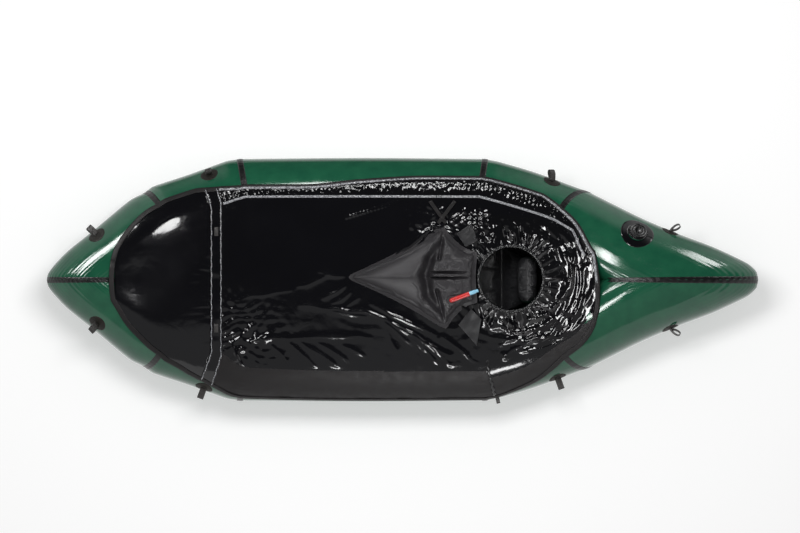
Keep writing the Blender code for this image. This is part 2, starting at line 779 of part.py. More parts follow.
def skirt_rows(lift):
    """Every ray of the skirt, from its edge to the hem, at one lift."""
    _, aft, _, _ = rim_route()
    start = SKIRT_STATION + station_step(SKIRT_STATION, GAP)
    places = edge_places(start, STARBOARD_EDGE_SHARES[-1][0], 0.1)
    lifted = DECK_CLEARANCE + lift
    outer = [hull_point(1, place, max(90, starboard_edge(place)), lifted) for place in places]
    drop = TRIM_CLEARANCE + FABRIC - lift
    outer += [point - normal * drop for point, normal in aft]
    outer += [
        hull_point(-1, place, max(BAND_TOP_ANGLE, port_edge(place)), lifted)
        for place in reversed(places)
    ]
    front = 13
    outer += [deck_across(start, -1 + 2 * i / front, lift) for i in range(front)]
    rows = []
    for i, edge in enumerate(outer):
        hem = hem_point(hem_turn(edge), 2 * HEM_RADIUS + GAP, HEM_LIFT + lift)
        puckers = PUCKER_HEIGHT * sin(2 * pi * SKIRT_PUCKERS * i / len(outer))
        row = []
        for share in (0, 0.12, 0.3, 0.5, 0.7, 0.88, 1):
            row.append(edge.lerp(hem, share) + UP * puckers * 4 * share * (1 - share))
        rows.append(row)
    return rows


def cockpit_skirt():
    points, faces = sheet_body(skirt_rows(0), skirt_rows(FABRIC), closed_rows=True)
    return make_object("cockpit_skirt", points, faces, DECK_BLACK, 0.2)


def hem_elastic():
    """The elastic in the hem, a round ring about the hole with a section at each ray of the skirt."""
    sides = 6
    rings = []
    for row in skirt_rows(0):
        turn = hem_turn(row[-1])
        ring = []
        for k in range(sides):
            angle = 2 * pi * k / sides
            swell = HEM_RADIUS * (1 + cos(angle))
            ring.append(hem_point(turn, swell, HEM_LIFT + HEM_RADIUS * sin(angle)))
        rings.append(ring)
    points, faces = ring_body(rings, closed=True)
    return make_object("hem_elastic", points, faces, DECK_BLACK, 0.4)


def closure_welt():
    """The raised edge of the closure, from the band up to the skirt's slack."""
    lift = DECK_CLEARANCE + FABRIC + TRIM_CLEARANCE
    angles = (84, 76, 68, 60, 52, 44, 36)
    route = [
        (hull_point(-1, WELT_STATION, angle, lift), hull_normal(-1, WELT_STATION, angle))
        for angle in angles
    ]
    points, faces = ribbon(route, RIM_TAPE_WIDTH / 2, FABRIC * 2)
    return make_object("closure_welt", points, faces, DECK_BLACK, 0.3)


# Knee pillow


def rounded_outline(corners, steps, roundness):
    """A polygon with each side split in steps and its corners drawn in."""
    outline = []
    centre = sum((Vector(corner) for corner in corners), Vector((0, 0))) / len(corners)
    for i, corner in enumerate(corners):
        here, after = Vector(corner), Vector(corners[(i + 1) % len(corners)])
        for k in range(steps):
            share = k / steps
            point = here.lerp(after, share)
            waist = roundness * sin(pi * share)
            outline.append(point.lerp(centre, waist))
    return outline


def knee_pillow():
    """An inflated cushion with a flat welded border and a valley across its front."""
    centre = Vector(PILLOW_CENTRE)
    outline = rounded_outline(PILLOW_CORNERS, 6, 0.07)
    base_lift = FABRIC + GAP + TRIM_CLEARANCE / 2
    upper, lower = [], []
    levels = ((0, 0), (1, 0), (1, 0.30), (0.86, 0.62), (0.66, 0.86), (0.40, 0.97), (0.15, 1))
    for kind, rise in levels:
        upper_ring, lower_ring = [], []
        for edge in outline:
            span = (edge - centre).length
            inner = 1 - PILLOW_BORDER / span
            if rise == 0:
                share = 1 if kind == 0 else inner
            else:
                share = inner * kind * (0.985 if rise == 0.30 else 1)
            point = centre.lerp(edge, share)
            valley = exp(-((point.x - PILLOW_VALLEY_X) / PILLOW_VALLEY_WIDTH) ** 2)
            height = PILLOW_HEIGHT * rise * (1 - PILLOW_VALLEY_SHARE * valley)
            base = deck_height(point.x, point.y, base_lift)
            upper_ring.append(Vector((point.x, point.y, base + PILLOW_BORDER_THICKNESS + height)))
            lower_ring.append(Vector((point.x, point.y, base)))
        upper.append(upper_ring)
        lower.append(lower_ring)
    rings = lower[::-1] + upper
    points, faces = ring_body(rings)
    return make_object("knee_pillow", points, faces, PILLOW_GREY, 0.6)


def crossing(point, run, other, other_run):
    """Where two lines in plan meet."""
    gap = other - point
    share = gap.cross(other_run) / run.cross(other_run)
    return point + run * share


def pillow_cross_tape():
    """Two flat tapes that cross between the pillow's top corner and the rim."""
    rim_y = (HULL_WIDTH / 2 - TUBE_RADIUS) * CROSS_TAPE_RIM_SHARE
    a, c = [Vector((rim_x, rim_y)) for rim_x in CROSS_TAPE_RIM_X]
    b, d = [Vector(end) for end in CROSS_TAPE_PILLOW_ENDS]
    first, second = (b - a).normalized(), (d - c).normalized()
    left = Vector((-first.y, first.x)) * (CROSS_TAPE_WIDTH / 2)
    right = Vector((-second.y, second.x)) * (CROSS_TAPE_WIDTH / 2)
    outline = [
        a + left, a - left, crossing(a - left, first, d - right, second),
        d - right, d + right, crossing(a - left, first, d + right, second),
        b - left, b + left, crossing(a + left, first, d + right, second),
        c + right, c - right, crossing(a + left, first, d - right, second),
    ]
    lift = FABRIC + GAP + TRIM_CLEARANCE / 2
    rings = []
    for extra in (0, FABRIC):
        rings.append([Vector((p.x, p.y, deck_height(p.x, p.y, lift + extra))) for p in outline])
    points, faces = ring_body(rings)
    return make_object("pillow_cross_tape", points, faces, TAPE_BLACK, 0.5)


def pillow_top(x, y):
    """Greatest height the pillow can have near its middle."""
    return deck_height(x, y, FABRIC + GAP) + PILLOW_BORDER_THICKNESS + PILLOW_HEIGHT


def mouth_valve():
    """The pillow's inflation tube, bent over from its flange, and its twist tip."""
    foot = Vector((*MOUTH_VALVE_FOOT, 0))
    end = Vector((*MOUTH_VALVE_END, 0))
    foot.z = pillow_top(*MOUTH_VALVE_FOOT) - PILLOW_HEIGHT * MOUTH_FOOT_SHARE
    run = (end - Vector((foot.x, foot.y, 0))).normalized()
    height = foot.z + MOUTH_TUBE_CLEARANCE
    shoulder = end - run * MOUTH_TIP_LENGTH
    route = [
        (foot, MOUTH_FLANGE_RADIUS, UP),
        (foot + UP * FABRIC * 2, MOUTH_FLANGE_RADIUS, UP),
        (foot + UP * FABRIC * 3, MOUTH_TUBE_RADIUS, UP),
    ]
    bend = MOUTH_TUBE_CLEARANCE - FABRIC * 3
    for turn in (30, 60, 90):
        angle = radians(turn)
        spot = foot + UP * (FABRIC * 3 + bend * sin(angle)) + run * bend * (1 - cos(angle))
        route.append((spot, MOUTH_TUBE_RADIUS, UP * cos(angle) + run * sin(angle)))
    spigot = Vector((shoulder.x, shoulder.y, height))
    route.append((spigot, MOUTH_TUBE_RADIUS, run))
    route.append((spigot, MOUTH_SPIGOT_RADIUS, run))
    route.append((spigot + run * MOUTH_SPIGOT_LENGTH, MOUTH_SPIGOT_RADIUS, run))
    level = Vector((-run.y, run.x, 0))
    rings = []
    for point, radius, heading in route:
        other = heading.cross(level)
        ring = []
        for i in range(12):
            turn = 2 * pi * i / 12
            ring.append(point + (level * cos(turn) + other * sin(turn)) * radius)
        rings.append(ring)
    points, faces = ring_body(rings)
    make_object("mouth_valve_stem", points, faces, VALVE_RED, 0.35)

    length = MOUTH_TIP_LENGTH - GAP
    socket = MOUTH_SPIGOT_RADIUS + GAP
    depth = MOUTH_SPIGOT_LENGTH
    lip = MOUTH_TIP_RADIUS * 0.8
    profile = (
        (0, depth), (socket, depth), (socket, 0), (MOUTH_TIP_RADIUS, 0),
        (MOUTH_TIP_RADIUS, length * 0.6), (lip, length * 0.7), (lip, length), (0, length),
    )
    points, faces = turned_body(profile, 16)
    tip = make_object("mouth_valve_tip", points, faces, VALVE_BLUE, 0.3)
    tip.matrix_world = frame_matrix(spigot + run * GAP, UP, run)


# Seat and backrest


def cushion(name, half_x, half_y_of, height, channels, colour):
    """A crowned cushion about its own base, with channels pressed in along X."""
    columns, rows = 10, 12
    upper, lower = [], []
    for i in range(columns + 1):
        along = -1 + 2 * i / columns
        upper_row, lower_row = [], []
        for k in range(rows + 1):
            across = -1 + 2 * k / rows
            round_x = along * sqrt(1 - 0.18 * across * across)
            round_y = across * sqrt(1 - 0.18 * along * along)
            x = half_x * round_x
            y = half_y_of(x) * round_y
            crown = ((1 - along ** 4) * (1 - across ** 4)) ** 0.4
            groove = 1 - 0.2 * sum(exp(-((across - c) / 0.09) ** 2) for c in channels)
            body = height * (0.5 + 0.5 * crown * groove)
            tuck = height * 0.5 * (1 - crown)
            upper_row.append(Vector((x, y, max(body, tuck + FABRIC))))
            lower_row.append(Vector((x, y, tuck)))
        upper.append(upper_row)
        lower.append(lower_row)
    points, faces = sheet_body(lower, upper)
    return make_object(name, points, faces, colour, 0.6)


def seat_cushion():
    half = (SEAT_REAR_X - SEAT_FRONT_X) / 2
    taper_start = half * 0.1

    def half_width(x):
        share = max(0, (x - taper_start) / (half - taper_start))
        return blend(SEAT_HALF_WIDTH, SEAT_REAR_HALF_WIDTH, share)

    seat = cushion("seat_cushion", half, half_width, SEAT_HEIGHT, (-0.34, 0.34), SEAT_GREY)
    seat.location = ((SEAT_FRONT_X + SEAT_REAR_X) / 2, 0, FLOOR_FABRIC + GAP)
    return seat


def backrest():
    """The back roll, standing on the seat's rear edge and hinged at its front foot."""
    foot = FLOOR_FABRIC + GAP + SEAT_HEIGHT + BACKREST_CLEARANCE
    roll = cushion(
        "backrest", BACKREST_HEIGHT / 2, lambda x: BACKREST_HALF_WIDTH, BACKREST_THICKNESS,
        (-0.34, 0.34), SEAT_GREY)
    turn = Matrix(((0, 0, 1), (0, 1, 0), (1, 0, 0))).to_4x4()
    shift = Matrix.Translation((BACKREST_CLEARANCE, 0, BACKREST_HEIGHT / 2 - BACKREST_DROP))
    roll.data.transform(shift @ turn)
    roll.data.flip_normals()
    roll.location = (BACKREST_X, 0, foot)
    return roll


# Main valve


def skin_frame(side, station, angle, lift=0.0):
    """A frame on the skin: X along the tube towards the stern, Z square to the skin."""
    step = 0.01
    along = hull_point(side, station + step, angle) - hull_point(side, station - step, angle)
    around = hull_point(side, station, angle + 1) - hull_point(side, station, angle - 1)
    outward = around.cross(along) * side
    return frame_matrix(hull_point(side, station, angle, lift), along, outward)


def skin_point(side, station, angle, back, x, y, lift):
    """The point of the skin at x and y in a frame on the skin; back leads into that frame."""
    for _ in range(8):
        here = back @ hull_point(side, station, angle)
        station += (x - here.x) / panel_length(panel_of(station)[0])
        angle -= side * degrees((y - here.y) / TUBE_RADIUS)
    return hull_point(side, station, angle, lift)


def skin_disc(side, station, angle, radii, sides, lift, thickness):
    """Points and faces of a round patch that follows the tube's skin, through rings of given radii.

    The first ring is the edge of its hole; a first radius of 0 makes it whole.
    """
    back = skin_frame(side, station, angle).inverted()
    levels = (lift, lift + thickness)
    whole = radii[0] == 0
    rings = radii[1:] if whole else radii
    count = len(rings)
    points = []
    for height in levels:
        for radius in rings:
            for i in range(sides):
                turn = 2 * pi * i / sides
                x, y = radius * cos(turn), radius * sin(turn)
                points.append(skin_point(side, station, angle, back, x, y, height))
    faces = []
    for i in range(sides):
        j = (i + 1) % sides
        for level in range(2):
            for ring in range(count - 1):
                a = (level * count + ring) * sides
                faces.append((a + i, a + j, a + sides + j, a + sides + i))
        for ring in (count - 1,) if whole else (0, count - 1):
            a, b = ring * sides, (count + ring) * sides
            faces.append((a + i, a + j, b + j, b + i))
        if whole:
            for level in range(2):
                a = level * count * sides
                faces.append((2 * count * sides + level, a + i, a + j))
    if whole:
        points += [hull_point(side, station, angle, height) for height in levels]
    return points, faces


def main_valve(panel):
    """The inflation valve, in its own frame: Z goes out of the tube, zero at the skin."""
    frame = skin_frame(1, VALVE_STATION, VALVE_ANGLE)
    hole = VALVE_FLANGE_RADIUS + VALVE_PATCH_MARGIN
    radii = (hole, (hole + VALVE_PATCH_RADIUS) / 2, VALVE_PATCH_RADIUS)
    points, faces = skin_disc(1, VALVE_STATION, VALVE_ANGLE, radii, 24, PATCH_CLEARANCE, FABRIC)
    make_object("valve_patch", points, faces, VALVE_PLASTIC, 0.7)

    base = VALVE_FLANGE_LIFT
    flange_top = base + VALVE_FLANGE_THICKNESS
    seat_top = -VALVE_DEPTH + VALVE_SEAT_THICKNESS
    profile = (
        (VALVE_GUIDE_RADIUS, -VALVE_DEPTH), (VALVE_BARREL_RADIUS, -VALVE_DEPTH),
        (VALVE_BARREL_RADIUS, base), (VALVE_FLANGE_RADIUS, base), (VALVE_FLANGE_RADIUS, flange_top),
        (VALVE_COLLAR_RADIUS, flange_top), (VALVE_COLLAR_RADIUS, VALVE_COLLAR_HEIGHT),
        (VALVE_THROAT_RADIUS, VALVE_COLLAR_HEIGHT), (VALVE_THROAT_RADIUS, seat_top),
        (VALVE_GUIDE_RADIUS, seat_top),
    )
    points, faces = turned_body(profile, 24)
    body = make_object("valve_body", points, faces, VALVE_PLASTIC, 0.4)
    body.matrix_world = frame

    top = VALVE_COLLAR_HEIGHT + GAP + VALVE_CAP_THICKNESS
    under = VALVE_COLLAR_HEIGHT + GAP
    groove = top - VALVE_CAP_GROOVE_DEPTH
    wall_in = VALVE_COLLAR_RADIUS + GAP
    wall_out = wall_in + VALVE_CAP_WALL
    g0, g1, g2, g3 = VALVE_CAP_GROOVE_RADII
    profile = (
        (0, top), (g0, top), (g0, groove), (g1, groove), (g1, top), (g2, top), (g2, groove),
        (g3, groove), (g3, top), (wall_out - GAP, top), (wall_out, top - GAP),
        (wall_out, flange_top + GAP), (wall_in, flange_top + GAP), (wall_in, under), (0, under),
    )
    points, faces = turned_body(profile, 24)
    cap = make_object("valve_cap", points, faces, VALVE_PLASTIC, 0.35)
    cap.matrix_world = frame

    head_under = PLUNGER_TOP - PLUNGER_HEAD_HEIGHT
    disc_top = -VALVE_DEPTH - GAP
    profile = (
        (0, PLUNGER_TOP), (PLUNGER_HEAD_RADIUS, PLUNGER_TOP), (PLUNGER_HEAD_RADIUS, head_under),
        (PLUNGER_STEM_RADIUS, head_under), (PLUNGER_STEM_RADIUS, disc_top),
        (PLUNGER_DISC_RADIUS, disc_top), (PLUNGER_DISC_RADIUS, disc_top - PLUNGER_DISC_THICKNESS),
        (0, disc_top - PLUNGER_DISC_THICKNESS),
    )
    points, faces = turned_body(profile, 20)
    plunger = make_object("valve_plunger", points, faces, VALVE_BLUE, 0.5)
    plunger.matrix_world = frame

    sides, per_turn = 5, 10
    bottom = seat_top + GAP + SPRING_WIRE_RADIUS
    height = head_under - GAP - SPRING_WIRE_RADIUS - bottom
    count = SPRING_TURNS * per_turn
    rings = []
    for i in range(count + 1):
        turn = 2 * pi * i / per_turn
        out = Vector((cos(turn), sin(turn), 0))
        centre = out * SPRING_RADIUS + UP * (bottom + height * i / count)
        rings.append([
            centre + (out * cos(angle) + UP * sin(angle)) * SPRING_WIRE_RADIUS
            for angle in (2 * pi * k / sides for k in range(sides))
        ])
    points, faces = ring_body(rings)
    spring = make_object("valve_spring", points, faces, STEEL, 0.3, 1.0)
    spring.matrix_world = frame

    hole_radius = VALVE_BARREL_RADIUS + GAP
    cutter_reach = TUBE_RADIUS / 4
    profile = ((0, -cutter_reach), (hole_radius, -cutter_reach), (hole_radius, cutter_reach),
               (0, cutter_reach))
    points, faces = turned_body(profile, 24)
    cutter = make_object("valve_hole_cutter", points, faces, VALVE_PLASTIC)
    cutter.matrix_world = frame
    cut(panel, cutter)


# Tie-down loops


def egg_outline(low, high, foot_half_width, top_half_width, count):
    """An egg-shaped outline in (sideways, outward), narrow at its foot."""
    outline = []
    for i in range(count):
        turn = 2 * pi * i / count
        rise = (1 - cos(turn)) / 2
        width = blend(foot_half_width, top_half_width, rise)
        outline.append((sin(turn) * width, blend(low, high, rise)))
    return outline


def web_loop(name, place, scale, lift):
    """A folded webbing loop, its origin on the line that it flops about."""
    station, angle, side, turn, lean = place
    count = 14
    outer = egg_outline(-LOOP_FOOT_RADIUS, LOOP_HEIGHT, LOOP_FOOT_HALF_WIDTH, LOOP_HALF_WIDTH, count)
    inner = egg_outline(LOOP_HOLE_START, LOOP_HEIGHT - WEBBING, LOOP_HOLE_FOOT_HALF_WIDTH,
                        LOOP_HOLE_HALF_WIDTH, count)
    half = WEBBING_WIDTH / 2
    rings = []
    for sideways, outward in zip(outer, inner):
        ring = [
            Vector((-half, sideways[0], sideways[1])), Vector((half, sideways[0], sideways[1])),
            Vector((half, outward[0], outward[1])), Vector((-half, outward[0], outward[1])),
        ]
        rings.append([point * scale for point in ring])
    points, faces = ring_body(rings, closed=True)
    loop = make_object(name, points, faces, WEBBING_BLACK, 0.8)
    frame = skin_frame(side, station, angle, lift + LOOP_FOOT_RADIUS * scale)
    turned = Matrix.Rotation(radians(-side * turn), 4, "Z")
    loop.matrix_world = frame @ turned @ Matrix.Rotation(radians(-side * lean), 4, "X")
    return loop


def tie_downs():
    radii = (0, LOOP_PATCH_RADIUS / 2, LOOP_PATCH_RADIUS)
    for name, place in LOOP_PLACES.items():
        station, angle, side, _, _ = place
        points, faces = skin_disc(side, station, angle, radii, 14, PATCH_CLEARANCE, FABRIC)
        make_object(f"loop_patch_{name}", points, faces, PATCH_BROWN, 0.8)
        web_loop(f"web_loop_{name}", place, 1, PATCH_CLEARANCE + FABRIC + GAP)


def centre_all():
    """Shifts everything so that the whole craft is centred over the origin."""
    bpy.context.view_layer.update()
    seen = [item for item in bpy.data.objects if not item.hide_render]
    corners = [item.matrix_world @ Vector(corner) for item in seen for corner in item.bound_box]
    middle = Vector([(min(values) + max(values)) / 2 for values in zip(*corners)])
    shift = Vector((-middle.x, -middle.y, 0))
    for item in bpy.data.objects:
        item.matrix_world = Matrix.Translation(shift) @ item.matrix_world


def build():
    for item in list(bpy.data.objects):
        bpy.data.objects.remove(item)
    panels = {}
    for side in (1, -1):
        for panel in range(PANELS):
            panels[side, panel] = tube_panel(side, panel)
    hull_seam_tapes()
    floor_sheet()

    band_start, band_end = cross_band_ends()
    first = STARBOARD_EDGE_SHARES[0][0]
    deck_panel(
        "bow_deck_panel", first, band_start, outer_row, BOW_DECK_STEP_SHARE, DECK_BLACK, 0.15)
    deck_panel(
        "deck_cross_band", band_start, band_end, outer_row, CROSS_BAND_STEP_SHARE, TAPE_BLACK, 0.6)
    deck_panel(
        "main_deck_panel", band_end, SKIRT_STATION, inner_row, MAIN_DECK_STEP_SHARE, DECK_BLACK, 0.15)
    webbing_keeper(1)
    webbing_keeper(-1)
    deck_rim_tape()
    rim_gather_band()
    closure_band()
    cockpit_skirt()
    hem_elastic()
    closure_welt()
    web_loop("pull_loop", PULL_LOOP_PLACE, PULL_LOOP_SCALE, GAP)

    knee_pillow()
    pillow_cross_tape()
    mouth_valve()
    seat_cushion()
    backrest()
    main_valve(panels[1, PANELS - 1])
    tie_downs()
    centre_all()


build()
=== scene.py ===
# %% [markdown]
# # Dressing a packraft
#
# # A packraft is a one-person inflatable boat that rolls up to fit in a rucksack. This one has
# # green tubes of coated nylon, black welded seam tapes, and a thin glossy spray deck that is
# # gathered round a small cockpit hole.
# #
# # The plain solid model gives the sizes and the moving parts. This lesson builds what the eye
# # sees: taut fabric with puckered seams, a crinkled deck, a padded pillow, woven webbing, and
# # a soft studio light. The solid model is loaded first and is never changed.

# %% Load the solid model
from math import asin, atan2, ceil, cos, hypot, pi, radians, sin

import bpy
import numpy as np
from mathutils import Matrix, Vector


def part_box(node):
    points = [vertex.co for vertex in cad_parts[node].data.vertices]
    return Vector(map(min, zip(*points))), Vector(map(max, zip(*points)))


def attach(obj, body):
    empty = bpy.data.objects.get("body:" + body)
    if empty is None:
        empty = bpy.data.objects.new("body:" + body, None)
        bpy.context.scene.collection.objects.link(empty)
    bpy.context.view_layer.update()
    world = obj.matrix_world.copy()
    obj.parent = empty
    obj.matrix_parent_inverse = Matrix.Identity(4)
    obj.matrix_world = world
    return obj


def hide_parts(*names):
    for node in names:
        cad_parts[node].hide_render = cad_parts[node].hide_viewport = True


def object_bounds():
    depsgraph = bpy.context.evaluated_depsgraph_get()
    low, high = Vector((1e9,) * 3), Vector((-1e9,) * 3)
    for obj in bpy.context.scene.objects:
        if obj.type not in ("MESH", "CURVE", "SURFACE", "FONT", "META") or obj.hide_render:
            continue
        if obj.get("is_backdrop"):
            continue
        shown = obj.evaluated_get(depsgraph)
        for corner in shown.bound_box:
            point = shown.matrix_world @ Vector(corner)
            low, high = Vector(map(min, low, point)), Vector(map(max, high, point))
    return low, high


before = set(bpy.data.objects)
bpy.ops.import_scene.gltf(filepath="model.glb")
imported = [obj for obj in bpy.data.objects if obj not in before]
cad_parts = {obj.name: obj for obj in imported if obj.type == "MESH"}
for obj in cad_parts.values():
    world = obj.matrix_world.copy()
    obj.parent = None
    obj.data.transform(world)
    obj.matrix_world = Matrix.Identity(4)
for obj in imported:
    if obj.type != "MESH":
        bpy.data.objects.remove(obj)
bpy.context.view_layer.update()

# %% [markdown]
# # Sheets of cloth are built here as grids of points. A grid is easy to bend, and its rows and
# # columns also give the cloth its own measure along and across, which the weave can follow.
# # One helper turns a grid into a mesh, and one puts a mesh on the body that it moves with.

# %% Helpers for meshes
# The solid model is centred over the origin, loops included, and the hull's own middle lies a
# little beside it. The difference is measured on the hull's panels.
SHIFT = np.array(((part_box("bow_cone_port")[0].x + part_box("stern_cone_port")[1].x) / 2,
                  (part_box("side_tube_port")[0].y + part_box("side_tube_starboard")[1].y) / 2, 0))
UP = np.array((0, 0, 1.0))
print("the hull's middle lies at", np.round(SHIFT * 1000, 2), "mm")


def cell_faces(rows, columns):
    index = np.arange(rows * columns).reshape(rows, columns)
    quads = np.stack((index[:-1, :-1], index[:-1, 1:], index[1:, 1:], index[1:, :-1]), axis=-1)
    return quads.reshape(-1, 4)


def settle(item, body, stands_for):
    """Puts a finished piece on its body, in place of the solids that it stands for."""
    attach(item, body)
    if stands_for:
        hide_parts(*stands_for)
    return item


def make_mesh(name, points, faces, finish, body="hull", stands_for=(), slot="hull_fabric",
              measure=None, place=None):
    """One mesh piece. measure gives each point's place along and across the cloth.

    place is a frame of the piece's own, in the room; without it the points are the boat's.
    """
    points = np.asarray(points, float).reshape(-1, 3)
    if place is None:
        points = points + SHIFT
    mesh = bpy.data.meshes.new(name)
    mesh.from_pydata(points.tolist(), [], [tuple(int(i) for i in face) for face in faces])
    mesh.shade_smooth()
    for material in finish if isinstance(finish, (list, tuple)) else [finish]:
        mesh.materials.append(material)
    if measure is not None:
        corners = np.zeros(len(mesh.loops), np.int64)
        mesh.loops.foreach_get("vertex_index", corners)
        layer = mesh.uv_layers.new(name="cloth")
        layer.data.foreach_set("uv", np.asarray(measure, float).reshape(-1, 2)[corners].ravel())
    item = bpy.data.objects.new(name, mesh)
    bpy.context.collection.objects.link(item)
    if place is not None:
        item.matrix_world = place
    return settle(item, body, stands_for)


def grid_measure(grid):
    """Distance along and across a grid of points, in metres."""
    along = np.zeros(grid.shape[:2])
    across = np.zeros(grid.shape[:2])
    along[1:] = np.cumsum(np.linalg.norm(np.diff(grid, axis=0), axis=2), axis=0)
    across[:, 1:] = np.cumsum(np.linalg.norm(np.diff(grid, axis=1), axis=2), axis=1)
    return np.stack((along, across), axis=-1)


def grid_normals(grid):
    normals = np.cross(np.gradient(grid, axis=0), np.gradient(grid, axis=1))
    return normals / np.linalg.norm(normals, axis=2, keepdims=True)


def upward_normals(grid):
    normals = grid_normals(grid)
    return normals * np.sign(normals[..., 2].mean())


def thicken(item, thickness, offset=-1.0):
    solid = item.modifiers.new("thickness", "SOLIDIFY")
    solid.thickness, solid.offset = thickness, offset
    return item


def lay_sheet(name, grid, finish, thickness=0.0008, offset=-1.0, flip=False, keep=None, **rest):
    """A sheet of cloth from a grid of points."""
    faces = cell_faces(*grid.shape[:2])
    if flip:
        faces = faces[:, ::-1]
    if keep is not None:
        faces = faces[keep]
    item = make_mesh(name, grid, faces, finish, measure=grid_measure(grid), **rest)
    return thicken(item, thickness, offset)


def sweep(name, rings, finish, closed=False, **rest):
    """A solid through a list of equal rings, open ones capped at both ends."""
    rings = np.asarray(rings, float)
    count, sides = rings.shape[:2]
    wrapped = np.concatenate((rings, rings[:1])) if closed else rings
    faces = []
    for i in range(len(wrapped) - 1):
        low, high = i % count * sides, (i + 1) % count * sides
        for c in range(sides):
            d = (c + 1) % sides
            faces.append((low + c, low + d, high + d, high + c))
    if not closed:
        faces.append(tuple(range(sides))[::-1])
        faces.append(tuple(range((count - 1) * sides, count * sides)))
    return make_mesh(name, rings, faces, finish, **rest)


def lathe(profile, sides):
    """Points and faces of a profile of (radius, height) turned round Z, closed at the axis."""
    profile = np.asarray(profile, float)
    turns = 2 * pi * np.arange(sides) / sides
    rings = np.stack((
        profile[:, :1] * np.cos(turns), profile[:, :1] * np.sin(turns),
        np.repeat(profile[:, 1:], sides, axis=1)), axis=-1)
    faces = []
    for i in range(len(profile) - 1):
        for c in range(sides):
            d = (c + 1) % sides
            faces.append((i * sides + c, i * sides + d, (i + 1) * sides + d, (i + 1) * sides + c))
    return rings.reshape(-1, 3), faces


# %% [markdown]
# # Cloth is never even, so the shapes and finishes need a little disorder that comes out the
# # same on each run. Two patterns do nearly all of it here. One is smooth noise. The other
# # folds a plane along straight lines, which gives the flat facets and sharp ridges that thin
# # coated film has when it is crumpled.

# %% Disorder that repeats


def noise(x, y, size, seed):
    """Smooth noise from -1 to 1, with bumps of about one size."""
    table = np.random.default_rng(seed).uniform(-1, 1, (64, 64))
    u, v = x / size, y / size
    i, j = np.floor(u).astype(int), np.floor(v).astype(int)
    f, g = u - i, v - j
    f, g = f * f * (3 - 2 * f), g * g * (3 - 2 * g)
    i, j, k, m = i % 64, j % 64, (i + 1) % 64, (j + 1) % 64
    low = table[i, j] * (1 - f) + table[k, j] * f
    high = table[i, m] * (1 - f) + table[k, m] * f
    return low * (1 - g) + high * g


def crumple(x, y, size, seed, folds=4):
    """Facets with sharp ridges, from -0.5 to 0.5, as crumpled film has."""
    rng = np.random.default_rng(seed)
    total = 0.0
    for k in range(folds):
        turn = pi * (k + rng.uniform(-0.4, 0.4)) / folds
        length = size * rng.uniform(0.7, 1.6)
        bent = noise(x, y, size * 2.2, seed * 7 + k) * 0.9
        u = (x * cos(turn) + y * sin(turn)) / length + bent + rng.uniform(0, 1)
        total = total + np.abs(2 * (u - np.floor(u)) - 1)
    return total / folds - 0.5


def smooth(low, high, value):
    share = np.clip((value - low) / (high - low), 0, 1)
    return share * share * (3 - 2 * share)


# %% [markdown]
# # A finish is a small network of nodes. One function adds a node, sets it and links it, so
# # each network reads as a short list. Colours are written as they look on a screen, and one
# # function turns them into the linear values that the shader needs.

# %% Helpers for finishes


def linear(code):
    """An sRGB hex colour as linear values."""
    values = [int(code[i:i + 2], 16) / 255 for i in (1, 3, 5)]
    return (*[v / 12.92 if v <= 0.04045 else ((v + 0.055) / 1.055) ** 2.4 for v in values], 1.0)


def add(tree, kind, sockets=None, **settings):
    """Adds a node; sockets gives inputs a value or another node's output."""
    node = tree.nodes.new(kind)
    for key, value in settings.items():
        setattr(node, key, value)
    for socket, value in (sockets or {}).items():
        if isinstance(value, bpy.types.NodeSocket):
            tree.links.new(value, node.inputs[socket])
        else:
            node.inputs[socket].default_value = value
    return node


def compute(tree, operation, *values):
    node = add(tree, "ShaderNodeMath", dict(enumerate(values)), operation=operation)
    return node.outputs["Value"]


WAVE_UNIT = 0.314  # distance between the bands of a wave texture whose scale is 1


def start_finish(name, shader):
    """A new material, its tree, its shader and its coordinates; shader gives fixed values."""
    material = bpy.data.materials.new(name)
    material.use_nodes = True
    tree = material.node_tree
    base = tree.nodes["Principled BSDF"]
    for socket, value in shader.items():
        base.inputs[socket.replace("_", " ")].default_value = value
    return material, tree, base, add(tree, "ShaderNodeTexCoord").outputs


def colour_and_gloss(tree, base, tone, rise, light, dark, gloss, span=(0.3, 0.7)):
    """Colour that follows tone, and roughness that follows rise where it crosses span."""
    # A mix of colours takes them in its sockets 6 and 7, and gives the result in socket 2.
    shade = add(tree, "ShaderNodeMix", {0: tone, 6: linear(dark), 7: linear(light)},
                data_type="RGBA")
    tree.links.new(shade.outputs[2], base.inputs["Base Color"])
    rough = add(tree, "ShaderNodeMapRange", {
        "Value": rise, "From Min": span[0], "From Max": span[1], "To Min": gloss[0],
        "To Max": gloss[1]})
    tree.links.new(rough.outputs["Result"], base.inputs["Roughness"])


